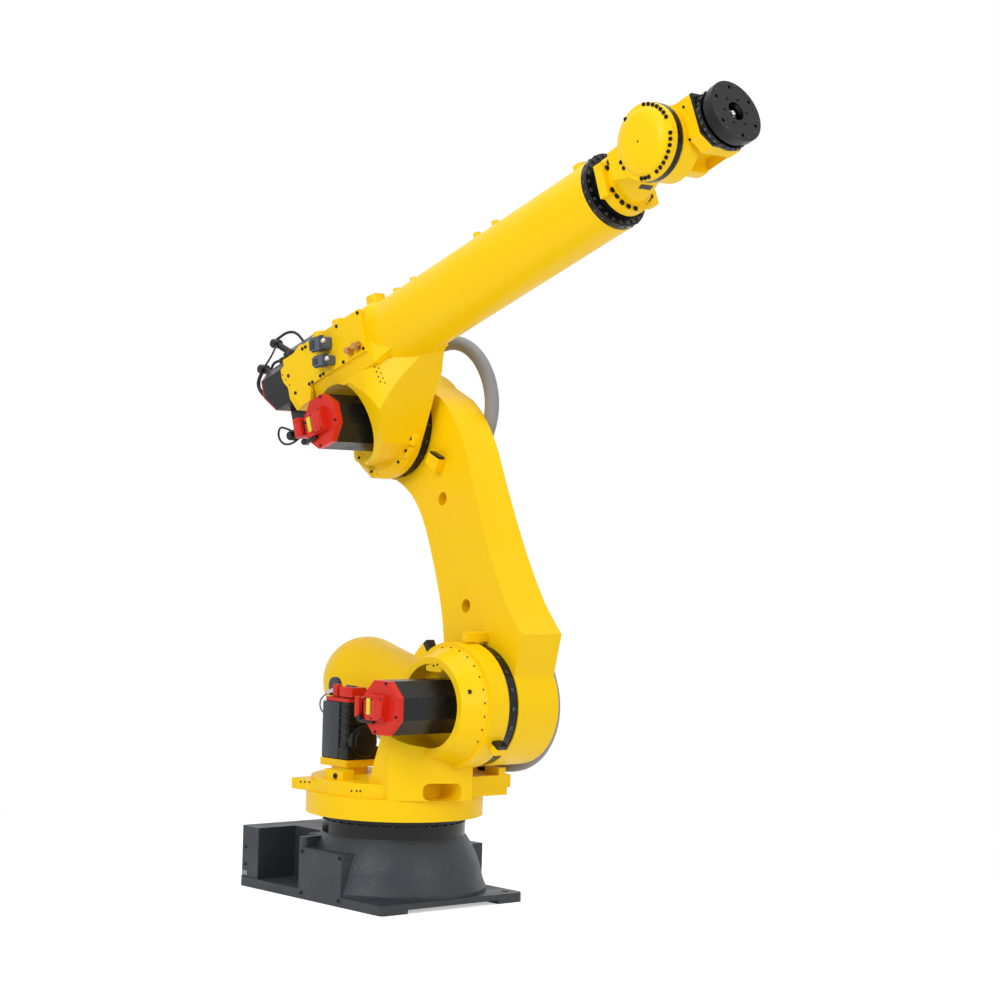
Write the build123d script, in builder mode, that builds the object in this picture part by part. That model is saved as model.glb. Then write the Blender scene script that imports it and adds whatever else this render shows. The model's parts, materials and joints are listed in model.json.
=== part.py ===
from build123d import *
import os
from math import cos, radians, sin

os.makedirs("parts", exist_ok=True)

# All sizes are in millimetres. The origin is where the swing axis meets the floor.
# X points forward, Y to the arm's own left, Z up. The photographed side is the -Y side.

# Axes of the six joints
shoulder_x = 312
shoulder_z = 670
arm_length = 1075
arm_lean = 30
elbow_rise = 253
forearm_pitch = 20
forearm_reach = 1693
wrist_tilt = 22.5
flange_reach = 232

# Clearances shared by every joint and seat
joint_gap = 6
shaft_gap = 0.3
seat_gap = 0.3

# Base casting
base_front = 325
base_rear = -460
base_half_width = 305
floor_flange = 32
bell_top_radius = 241
bell_foot_radius = 318
bell_height = 220
rear_box_height = 206
rear_lift = 13
floor_bolt_radius = 13
floor_bolt_inset = 43
rear_bolt_x = -269
cover_width = 220
cover_height = 156
cover_thickness = 8
cover_x = -3
cover_foot = 12
pocket_front = -178
pocket_rear = -360
pocket_depth = 160

# Slewing bearing and turntable
ring_radius = 242
ring_height = 42
neck_radius = 232
neck_height = 17
table_radius = 299
table_height = 72
swing_shaft_radius = 150
shaft_reach = 30
deck_thickness = 48
deck_radius = 284
bar_front = 60
bar_rear = -215
bar_side = 275
bar_height = 36
wall_side = 206
wall_back = 44
wall_foot_rear = 96
wall_knee_rear = 175
wall_front = 349
wall_knee_drop = 103
wall_top_rise = 30
lug_front = 318
lug_lift = 5
lug_length = 200
lug_width = 164
lug_y = 152
lug_step = 10
lug_under_height = 26
lug_height = 42
pad_block_size = (70, 30)
pad_block_height = 25
lug_pad_y = 201
block_place = (-12, -230)
block_size = (96, 62)
block_corner = 10
block_height = 80
window_place = (-57, 29)
window_size = (122, 57)
window_corner = 22
window_depth = 110
front_bulge = 56
front_sweep = 131

# Drums at the shoulder and the elbow
shoulder_drum_radius = 208
shoulder_drum_end = 45
shoulder_drum_back = 33
shoulder_arm_face = 90
shoulder_ring_radius = 200
nose_radius = 160
nose_end = 118
recess_radius = 138
recess_floor = 50
elbow_drum_radius = 188
elbow_drum_end = 113
elbow_drum_back = 60
elbow_boss_radius = 162
elbow_recess_radius = 130
elbow_arm_face = 152
elbow_ring_radius = 183
hub_radius = 105
hub_depth = 32
hub_room = 4

# Drive motors
motor_width = 174
motor_corner = 0.29
cap_thickness = 24
terminal_width = 90
terminal_height = 84
terminal_thickness = 18
terminal_shift = 10
shoulder_motor_reach = 323
elbow_motor_reach = 191
swing_motor_width = 130
swing_motor_height = 195
swing_motor_x = -165
swing_motor_y = -68
swing_boss_radius = 62
swing_boss_height = 25
swing_plate_width = 150
swing_plate_thickness = 24
swing_cap_thickness = 12
swing_terminal_thickness = 28
wrist_motor_length = 141
lone_motor_width = 150
twin_motor_width = 130
lone_motor_place = (-46, 7)
lower_twin_place = (52, -95)
upper_twin_place = (56, 105)

# Lower arm casting
foot_radius = 205
head_radius = 190
foot_far_face = 265
head_far_face = 300
foot_flat = 230
head_flat = 255
arm_hole_radius = 23
arm_hole_depth = 40

# Stops that end the travel at the shoulder and the elbow
upper_pad_angle = 124.2
upper_pad_half_angle = 2.6
upper_lug_half_angle = 7
lower_pad_angle = -30.8
lower_pad_half_angle = 1.6
lower_lug_half_angle = 2.8
pad_seat_angle = 0.08
dog_angle = 81.5
dog_half_angle = 3.2
dog_inner = 214
dog_end = -5
stop_outer = 244
stop_depth = 40
stop_root = 20
elbow_dog_inner = 228
elbow_dog_outer = 290
elbow_dog_angle = -49
elbow_dog_half_angle = 4.8
elbow_pad_half_angle = 1
dog_root = 10
pad_inset = 8

# Forearm casting
tube_start = 150
wrist_setback = 327
tube_rear_radius = 121
tube_front_radius = 122.3
tube_rear_drop = 21
tube_front_drop = 2.5
casing_near_side = 118
casing_far_side = 113
casing_rear = -205
casing_front = 250
casing_top = 92
boss_top = 133
big_boss_radius = 33
small_boss_radius = 24
pin_boss_radius = 13
end_boss_radius = 28
boss_y = -20
boss_stand = 14
boss_root = 60
casing_bottom = 132
casing_corner = 58
casing_run_out = 70
casing_run_out_taper = 24
carrier_side = 60
carrier_drop = 165
carrier_front = -60
motor_seat_thickness = 18
pad_side = 138
plate_thickness = 12
neck_low_side = 44
neck_face_slope = 0.3
neck_shift = 500 * neck_face_slope

# Connector plate, two latched connectors and two air fittings, placed from the elbow along and up
plate_outline_points = ((-82, 316), (-149, 294), (-211, 273), (-214, 244), (-208, 223), (-170, 170), (-164, 139),
                        (-141, 107), (-80, 110), (-70, 140), (-70, 161), (251, 161), (258, 310), (-60, 310))
plugs = (((54, 262), 78, 44), ((54, 200), 80, 34))
plug_turn = 13
plug_corner = 10
plug_depth = 40
fitting_places = ((186, 186), (227, 187))
fitting_nut_radius = 16
fitting_nut_thickness = 12
fitting_radius = 11
fitting_length = 16

# Counterbalance
balancer_y = 175
balancer_radius = 158
balancer_slope = radians(14.8)
balancer_dome_x = -385
balancer_dome_z = 696
balancer_length = 407
balancer_neck_radius = 110
balancer_shoulder = 40
rod_radius = 27
rod_length = 90
bracket_thickness = 16
bracket_width = 80
bracket_x = -46
bracket_height = 290

# Wrist
roll_ring_radius = 123
roll_ring_band = 24
roll_ring_thickness = 42
wrist_flange_radius = 100
wrist_flange_thickness = 34
seal_face = 119
cover_face = 154
bend_radius = 117
dome_height = 36
wrist_shaft_radius = 70
wrist_shaft_depth = 34
bend_hub_radius = 60
bend_hub_depth = 20
hand_left_face = 100
hand_right_face = 93
hand_half_height = 84
hand_plate_face = 155
hand_corner_cut = 38
hand_hump_height = 98
seal_gap = 0.3
neck_root = -232
neck_waist = -187
neck_tip = -141
neck_root_section = (-6, 150, 150, 70)
neck_waist_section = (-30, 176, 116, 44)
neck_tip_section = (-55, 190, 84, 30)
slim_cheek_face = 126
slim_cheek_radius = 40
slim_cheek_half_height = 22
slim_hub_radius = 24
slim_hub_length = 18
hand_plate_thickness = 9
hand_reducer_radius = 97
hand_reducer_thickness = 18
flange_shaft_radius = 48
flange_shaft_depth = 20
flange_neck_radius = 91
flange_disc_thickness = 24
tool_flange_radius = 100
tool_bore_radius = 30
tool_bore_depth = 30
tool_bolt_circle = 80
tool_bolt_radius = 6
tool_bolt_depth = 20

# Shaft lines worked out from the axes
lean = radians(arm_lean)
pitch = radians(forearm_pitch)
tilt = radians(wrist_tilt)
elbow_x = shoulder_x - arm_length * sin(lean)
elbow_z = shoulder_z + arm_length * cos(lean)
bend_x = elbow_x - elbow_rise * sin(pitch) + forearm_reach * cos(pitch)
bend_z = elbow_z + elbow_rise * cos(pitch) + forearm_reach * sin(pitch)
arm_across = (cos(lean), 0, sin(lean))
arm_along = (-sin(lean), 0, cos(lean))
fore_along = (cos(pitch), 0, sin(pitch))
fore_up = (-sin(pitch), 0, cos(pitch))
hand_along = (cos(tilt), 0, sin(tilt))
tube_end = forearm_reach - wrist_setback


def shoulder_plane(y):
    """Level plane across the shoulder axis at depth y, facing the photographed side."""
    return Plane(origin=(shoulder_x, y, shoulder_z), x_dir=(1, 0, 0), z_dir=(0, -1, 0))


def arm_plane(y):
    """Plane of the lower arm: first axis across it, second axis along it, from the shoulder."""
    return Plane(origin=(shoulder_x, y, shoulder_z), x_dir=arm_across, z_dir=(0, -1, 0))


def elbow_plane(y):
    """Plane of the forearm: first axis along it, second axis up from it, from the elbow."""
    return Plane(origin=(elbow_x, y, elbow_z), x_dir=fore_along, z_dir=(0, -1, 0))


def fore_section(distance, rise=0.0):
    """Plane square to the forearm's tube at a distance from the elbow, seen from the wrist."""
    x = elbow_x - (elbow_rise + rise) * sin(pitch) + distance * cos(pitch)
    z = elbow_z + (elbow_rise + rise) * cos(pitch) + distance * sin(pitch)
    return Plane(origin=(x, 0, z), x_dir=(0, 1, 0), z_dir=fore_along)


def fore_top(rise):
    """Plane along the top of the forearm: first axis along it, second axis to the arm's left."""
    x = elbow_x - (elbow_rise + rise) * sin(pitch)
    z = elbow_z + (elbow_rise + rise) * cos(pitch)
    return Plane(origin=(x, 0, z), x_dir=fore_along, z_dir=fore_up)


def bend_side(y):
    """Plane across the wrist's bending axis, in line with the forearm."""
    return Plane(origin=(bend_x, y, bend_z), x_dir=fore_along, z_dir=(0, -1, 0))


def bend_plane(y):
    """Plane across the wrist's bending axis, turned with the hand."""
    return Plane(origin=(bend_x, y, bend_z), x_dir=hand_along, z_dir=(0, -1, 0))


def hand_section(distance):
    """Plane square to the hand's own axis at a distance from the bending axis."""
    x = bend_x + distance * cos(tilt)
    z = bend_z + distance * sin(tilt)
    return Plane(origin=(x, 0, z), x_dir=(0, 1, 0), z_dir=hand_along)


def save(piece, name):
    """Name a finished piece and write it out."""
    piece.part.label = name
    export_step(piece.part, "parts/" + name + ".step")


def octagon(width):
    """Square with its corners cut, the outline of a servo motor."""
    rectangle = Rectangle(width, width)
    chamfer(rectangle.vertices(), width * motor_corner)


def ring_sector(inner, outer, middle_angle, half_angle):
    """Piece of a ring between two radii, about the middle of the plane it is drawn on."""
    low = radians(middle_angle - half_angle)
    middle = radians(middle_angle)
    high = radians(middle_angle + half_angle)
    with BuildLine() as outline:
        Line((inner * cos(low), inner * sin(low)), (outer * cos(low), outer * sin(low)))
        ThreePointArc((outer * cos(low), outer * sin(low)), (outer * cos(middle), outer * sin(middle)),
                      (outer * cos(high), outer * sin(high)))
        Line((outer * cos(high), outer * sin(high)), (inner * cos(high), inner * sin(high)))
        ThreePointArc((inner * cos(high), inner * sin(high)), (inner * cos(middle), inner * sin(middle)),
                      (inner * cos(low), inner * sin(low)))
    make_face(outline.edges())


# Base casting: a bell on a floor flange, with a cable box and two open pockets at the back
base_length = base_front - base_rear
base_middle = (base_front + base_rear) / 2
with BuildPart() as base_casting:
    with BuildSketch(Plane.XZ):
        with BuildLine():
            Polyline((0, 0), (bell_foot_radius, 0), (bell_foot_radius, floor_flange + 12))
            Spline((bell_foot_radius, floor_flange + 12), (bell_foot_radius - 13, 0.34 * bell_height),
                   (bell_foot_radius - 23, 0.51 * bell_height), (bell_foot_radius - 42, 0.74 * bell_height),
                   (bell_top_radius, bell_height))
            Polyline((bell_top_radius, bell_height), (0, bell_height), (0, 0))
        make_face()
    revolve(axis=Axis.Z)
    with BuildSketch(Plane.XY):
        with Locations((cover_x, 0)):
            Rectangle(cover_width + 6, 2 * base_half_width)
    extrude(amount=cover_foot + cover_height + 4)
    with BuildSketch(Plane.XY.offset(rear_lift)):
        with Locations((base_rear / 2 - 50, 0)):
            RectangleRounded(-100 - base_rear, 2 * base_half_width - 10, 12)
    extrude(amount=rear_box_height - rear_lift)
    with BuildSketch(Plane.XY):
        with Locations((base_middle, 0)):
            RectangleRounded(base_length, 2 * base_half_width, 18)
    extrude(amount=bell_height, mode=Mode.INTERSECT)
    with BuildSketch(Plane.XY.offset(floor_flange)):
        for side in (-1, 1):
            with Locations(((pocket_front + pocket_rear) / 2, side * (base_half_width - pocket_depth / 2))):
                Rectangle(pocket_front - pocket_rear, pocket_depth + 1)
            with Locations((pocket_front + 20, side * (base_half_width - pocket_depth / 4))):
                Rectangle(60, pocket_depth / 2 + 1)
    extrude(amount=bell_height, mode=Mode.SUBTRACT)
    with BuildSketch(Plane.XY):
        with Locations((base_middle, 0)):
            RectangleRounded(base_length, 2 * base_half_width, 18)
    extrude(amount=floor_flange)
    with Locations((base_rear + 60, 0, 0), (base_front - 40, 0, 0)):
        Box(140, 390, 2 * rear_lift, mode=Mode.SUBTRACT)
    for side in (-1, 1):
        with BuildSketch(Plane.XZ.offset(side * (base_half_width - cover_thickness))):
            with Locations((cover_x, cover_foot + cover_height / 2)):
                Rectangle(cover_width + 2 * seat_gap, cover_height + 2 * seat_gap)
        extrude(amount=side * 40, mode=Mode.SUBTRACT)
    for bolt_x in (base_front - floor_bolt_inset, rear_bolt_x):
        with Locations((bolt_x, floor_bolt_inset - base_half_width, 0),
                       (bolt_x, base_half_width - floor_bolt_inset, 0)):
            Hole(floor_bolt_radius)
save(base_casting, "base_casting")

for side, label in ((1, "base_side_cover"), (-1, "base_side_cover_left")):
    with BuildPart() as base_side_cover:
        with BuildSketch(Plane.XZ.offset(side * (base_half_width - cover_thickness + seat_gap))):
            with Locations((cover_x, cover_foot + cover_height / 2)):
                RectangleRounded(cover_width, cover_height, 6)
        extrude(amount=side * cover_thickness)
    save(base_side_cover, label)

# Slewing bearing: outer ring bolted to the bell, with a narrower neck below the turntable
ring_base = bell_height + seat_gap
table_base = ring_base + ring_height + neck_height + joint_gap
with BuildPart() as swing_ring:
    with BuildSketch(Plane.XY.offset(ring_base)):
        Circle(ring_radius)
        Circle(swing_shaft_radius + shaft_gap, mode=Mode.SUBTRACT)
    extrude(amount=ring_height)
    with BuildSketch(Plane.XY.offset(ring_base + ring_height)):
        Circle(neck_radius)
        Circle(swing_shaft_radius + shaft_gap, mode=Mode.SUBTRACT)
    extrude(amount=neck_height)
save(swing_ring, "swing_ring")

# Turret: turntable, deck with side bars, and the pedestal that carries the shoulder drum
table_top = table_base + table_height
deck_top = table_top + deck_thickness
bracket_offset = balancer_radius + seat_gap + bracket_thickness / 2
wall_knee = shoulder_z - wall_knee_drop
wall_top = shoulder_z + wall_top_rise


def wall_outline(rear, side, front):
    """Outline of the pedestal: flat behind and at its sides, rounded with the turntable in front."""
    with BuildLine() as outline:
        Polyline((front - front_sweep, -side), (rear, -side), (rear, wall_back), (front, wall_back))
        ThreePointArc((front, wall_back), (front - front_bulge, -0.55 * side), (front - front_sweep, -side))
    make_face(outline.edges())


with BuildPart() as turret_casting:
    with BuildSketch(Plane.XY.offset(table_base - shaft_reach)):
        Circle(swing_shaft_radius)
    extrude(amount=shaft_reach + 10)
    with BuildSketch(Plane.XY.offset(table_base)):
        Circle(table_radius)
    extrude(amount=table_height)
    with BuildSketch(Plane.XY.offset(table_top)):
        Circle(deck_radius)
    extrude(amount=deck_thickness)
    with BuildSketch(Plane.XY.offset(table_top)):
        with Locations(((bar_front + bar_rear) / 2, -bar_side / 2)):
            Rectangle(bar_front - bar_rear, bar_side)
        with Locations((bracket_x, (balancer_y + bracket_offset) / 2 + 60)):
            Rectangle(bracket_width + 60, balancer_y + bracket_offset + bracket_thickness / 2 - 120)
    extrude(amount=bar_height)
    with BuildSketch(Plane.XY.offset(table_top)):
        with Locations(block_place):
            RectangleRounded(*block_size, block_corner)
    extrude(amount=block_height)
    with BuildSketch(Plane.XY.offset(table_top + lug_lift)):
        with Locations((lug_front - lug_length / 2 - lug_step, lug_y)):
            Rectangle(lug_length, lug_width)
    extrude(amount=lug_under_height)
    with BuildSketch(Plane.XY.offset(table_top + lug_lift + lug_under_height)):
        with Locations((lug_front - lug_length / 2, lug_y)):
            Rectangle(lug_length, lug_width + lug_step)
    extrude(amount=lug_height)
    with BuildSketch(Plane.XY.offset(table_top + lug_lift + lug_under_height + lug_height)):
        with Locations((lug_front - pad_block_size[0] / 2, lug_pad_y)):
            Rectangle(*pad_block_size)
    extrude(amount=pad_block_height)
    with BuildSketch(Plane.XY.offset(table_top)):
        wall_outline(wall_foot_rear, wall_side, wall_front)
    with BuildSketch(Plane.XY.offset(wall_knee)):
        wall_outline(wall_knee_rear, wall_side, wall_front)
    loft()
    with BuildSketch(Plane.XY.offset(wall_knee)):
        wall_outline(wall_knee_rear, wall_side, wall_front)
    with BuildSketch(Plane.XY.offset(wall_top)):
        wall_outline(wall_knee_rear + 10, nose_end - 6, wall_front + 50)
    loft()
    with BuildSketch(Plane.XY.offset(table_top)):
        for side in (-1, 1):
            with Locations((bracket_x, balancer_y + side * bracket_offset)):
                Rectangle(bracket_width, bracket_thickness)
    extrude(amount=bracket_height)
    with BuildSketch(shoulder_plane(shoulder_drum_end)):
        Circle(shoulder_drum_radius)
    extrude(amount=shoulder_drum_end + shoulder_drum_back)
    with BuildSketch(shoulder_plane(-shoulder_drum_back)):
        Circle(shoulder_drum_radius - 14)
    with BuildSketch(shoulder_plane(-nose_end)):
        Circle(nose_radius)
    loft()
    with BuildSketch(shoulder_plane(0)):
        ring_sector(shoulder_drum_radius - stop_root, stop_outer,
                    upper_pad_angle + upper_pad_half_angle + upper_lug_half_angle, upper_lug_half_angle)
    extrude(amount=shoulder_drum_back)
    with BuildSketch(shoulder_plane(stop_depth)):
        ring_sector(shoulder_drum_radius - stop_root, stop_outer,
                    lower_pad_angle - lower_pad_half_angle - lower_lug_half_angle, lower_lug_half_angle)
    extrude(amount=stop_depth)
    with BuildSketch(shoulder_plane(-recess_floor)):
        Circle(recess_radius)
    extrude(amount=400, mode=Mode.SUBTRACT)
    with BuildSketch(shoulder_plane(-recess_floor)):
        with Locations((10, recess_radius - 8)):
            RectangleRounded(76, 34, 8)
    extrude(amount=nose_end - recess_floor - 4)
    with BuildSketch(shoulder_plane(shoulder_drum_end)):
        Circle(hub_radius + shaft_gap)
    extrude(amount=hub_depth + hub_room, mode=Mode.SUBTRACT)
    with BuildSketch(Plane(origin=(wall_front, 0, table_top), x_dir=(0, 1, 0), z_dir=(1, 0, 0))):
        with Locations(window_place):
            RectangleRounded(*window_size, window_corner)
    extrude(amount=-window_depth, mode=Mode.SUBTRACT)
save(turret_casting, "turret_casting")

# Black pads on the two shoulder stops
with BuildPart() as stop_pad_upper:
    with BuildSketch(shoulder_plane(0)):
        ring_sector(shoulder_drum_radius + seat_gap, stop_outer, upper_pad_angle,
                    upper_pad_half_angle - pad_seat_angle)
    extrude(amount=shoulder_drum_back)
save(stop_pad_upper, "stop_pad_upper")

with BuildPart() as stop_pad_lower:
    with BuildSketch(shoulder_plane(stop_depth)):
        ring_sector(shoulder_drum_radius + seat_gap, stop_outer, lower_pad_angle,
                    lower_pad_half_angle - pad_seat_angle)
    extrude(amount=stop_depth)
save(stop_pad_lower, "stop_pad_lower")

# Shoulder motor: body in the recess of the drum, red end cap outside
with BuildPart() as shoulder_motor:
    with BuildSketch(shoulder_plane(-recess_floor - seat_gap)):
        octagon(motor_width)
    extrude(amount=shoulder_motor_reach - recess_floor - cap_thickness - 2 * seat_gap)
save(shoulder_motor, "shoulder_motor")

with BuildPart() as shoulder_motor_cap:
    with BuildSketch(shoulder_plane(cap_thickness - shoulder_motor_reach)):
        octagon(motor_width)
    extrude(amount=cap_thickness)
    with BuildSketch(shoulder_plane(-shoulder_motor_reach)):
        with Locations((-terminal_shift, 0)):
            Rectangle(terminal_width, terminal_height)
    extrude(amount=terminal_thickness)
save(shoulder_motor_cap, "shoulder_motor_cap")

# Swing motor: stands upright on a round boss and a square plate behind the shoulder
swing_boss_base = deck_top + seat_gap
swing_plate_base = swing_boss_base + swing_boss_height
with BuildPart() as swing_motor_plate:
    with BuildSketch(Plane.XY.offset(swing_boss_base)):
        with Locations((swing_motor_x, swing_motor_y)):
            Circle(swing_boss_radius)
    extrude(amount=swing_boss_height)
    with BuildSketch(Plane.XY.offset(swing_plate_base)):
        with Locations((swing_motor_x, swing_motor_y)):
            RectangleRounded(swing_plate_width, swing_plate_width, 12)
    extrude(amount=swing_plate_thickness)
save(swing_motor_plate, "swing_motor_plate")

swing_motor_base = swing_plate_base + swing_plate_thickness + seat_gap
with BuildPart() as swing_motor:
    with BuildSketch(Plane.XY.offset(swing_motor_base)):
        with Locations((swing_motor_x, swing_motor_y)):
            RectangleRounded(swing_motor_width, swing_motor_width, 12)
    extrude(amount=swing_motor_height)
save(swing_motor, "swing_motor")

swing_cap_base = swing_motor_base + swing_motor_height + seat_gap
with BuildPart() as swing_motor_cap:
    with BuildSketch(Plane.XY.offset(swing_cap_base)):
        with Locations((swing_motor_x, swing_motor_y)):
            RectangleRounded(swing_motor_width, swing_motor_width, 12)
    extrude(amount=swing_cap_thickness)
    with BuildSketch(Plane.XY.offset(swing_cap_base + swing_cap_thickness)):
        with Locations((swing_motor_x - 5, swing_motor_y)):
            Rectangle(terminal_width, terminal_height)
    extrude(amount=swing_terminal_thickness)
save(swing_motor_cap, "swing_motor_cap")

# Counterbalance: domed gas cylinder behind the arm's foot, with its rod
balancer_dir = (cos(balancer_slope), 0, -sin(balancer_slope))
balancer_origin = (balancer_dome_x, balancer_y, balancer_dome_z)
balancer_side = Plane(origin=balancer_origin, x_dir=balancer_dir, z_dir=(0, -1, 0))
with BuildPart() as balancer_cylinder:
    with BuildSketch(balancer_side):
        with BuildLine():
            Line((-balancer_radius, 0), (balancer_length, 0))
            Polyline((balancer_length, 0), (balancer_length, balancer_neck_radius),
                     (balancer_length - balancer_shoulder, balancer_radius), (0, balancer_radius))
            RadiusArc((0, balancer_radius), (-balancer_radius, 0), -balancer_radius)
        make_face()
    revolve(axis=Axis(balancer_origin, balancer_dir))
save(balancer_cylinder, "balancer_cylinder")

rod_plane = Plane(origin=balancer_origin, x_dir=(0, 1, 0), z_dir=balancer_dir)
with BuildPart() as balancer_rod:
    with BuildSketch(rod_plane.offset(balancer_length + seat_gap)):
        Circle(rod_radius)
    extrude(amount=rod_length)
save(balancer_rod, "balancer_rod")

# Lower arm: cranked box casting between the shoulder ring and the elbow ring
with BuildPart() as lower_arm:
    with BuildSketch(arm_plane(head_far_face)):
        Circle(foot_radius)
        with Locations((0, arm_length)):
            Circle(head_radius)
        with BuildLine():
            Spline((-165, 122), (-95, 200), (-58, 290), (-30, 0.41 * arm_length), (-20, 0.56 * arm_length),
                   (-24, 0.676 * arm_length), (-60, arm_length - 225), (-158, arm_length - 105))
            Polyline((-158, arm_length - 105), (112, arm_length + 153), (240, arm_length - 30))
            Spline((240, arm_length - 30), (272, arm_length - 145), (270, 0.7 * arm_length),
                   (262, 0.45 * arm_length), (276, 248), (303, 105))
            Polyline((303, 105), (206, 3), (165, -122), (-165, 122))
        make_face()
    extrude(amount=head_far_face - shoulder_arm_face)
    side_profile = Plane(origin=(shoulder_x, 0, shoulder_z), x_dir=arm_along, z_dir=arm_across)
    with BuildSketch(side_profile):
        with BuildLine():
            Polyline((-300, -shoulder_arm_face), (foot_flat, -shoulder_arm_face),
                     (arm_length - head_flat, -elbow_arm_face), (arm_length + 325, -elbow_arm_face),
                     (arm_length + 325, -head_far_face), (arm_length - head_flat, -head_far_face),
                     (foot_flat, -foot_far_face), (-300, -foot_far_face), (-300, -shoulder_arm_face))
        make_face()
    extrude(amount=500, both=True, mode=Mode.INTERSECT)
    with BuildSketch(shoulder_plane(shoulder_arm_face + dog_root)):
        ring_sector(dog_inner, stop_outer, dog_angle, dog_half_angle)
    extrude(amount=shoulder_arm_face + dog_root - dog_end)
    with BuildSketch(elbow_plane(elbow_arm_face + dog_root)):
        ring_sector(elbow_dog_inner, elbow_dog_outer, elbow_dog_angle, elbow_dog_half_angle)
    extrude(amount=elbow_arm_face + dog_root - elbow_drum_end - joint_gap)
    with BuildSketch(arm_plane(shoulder_arm_face)):
        with Locations((85, 0.3 * arm_length)):
            Circle(arm_hole_radius)
        with Locations((101, 0.675 * arm_length)):
            Circle(arm_hole_radius)
    extrude(amount=-(arm_hole_depth + 50), mode=Mode.SUBTRACT)
save(lower_arm, "lower_arm")

# Black pad on the elbow stop
with BuildPart() as arm_stop_pad:
    with BuildSketch(elbow_plane(elbow_arm_face - 12)):
        ring_sector(elbow_dog_inner + pad_inset, elbow_dog_outer,
                    elbow_dog_angle + elbow_dog_half_angle + elbow_pad_half_angle,
                    elbow_pad_half_angle - pad_seat_angle)
    extrude(amount=elbow_arm_face - 12 - elbow_drum_end - joint_gap)
save(arm_stop_pad, "arm_stop_pad")

with BuildPart() as shoulder_ring:
    with BuildSketch(shoulder_plane(shoulder_arm_face - seat_gap)):
        Circle(shoulder_ring_radius)
    extrude(amount=shoulder_arm_face - seat_gap - shoulder_drum_end - joint_gap)
    with BuildSketch(shoulder_plane(shoulder_drum_end + joint_gap)):
        Circle(hub_radius)
    extrude(amount=hub_depth)
save(shoulder_ring, "shoulder_ring")

with BuildPart() as elbow_ring:
    with BuildSketch(elbow_plane(elbow_arm_face - seat_gap)):
        Circle(elbow_ring_radius)
    extrude(amount=elbow_arm_face - seat_gap - elbow_drum_end - joint_gap)
    with BuildSketch(elbow_plane(elbow_drum_end + joint_gap)):
        Circle(hub_radius)
    extrude(amount=hub_depth)
save(elbow_ring, "elbow_ring")

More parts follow.
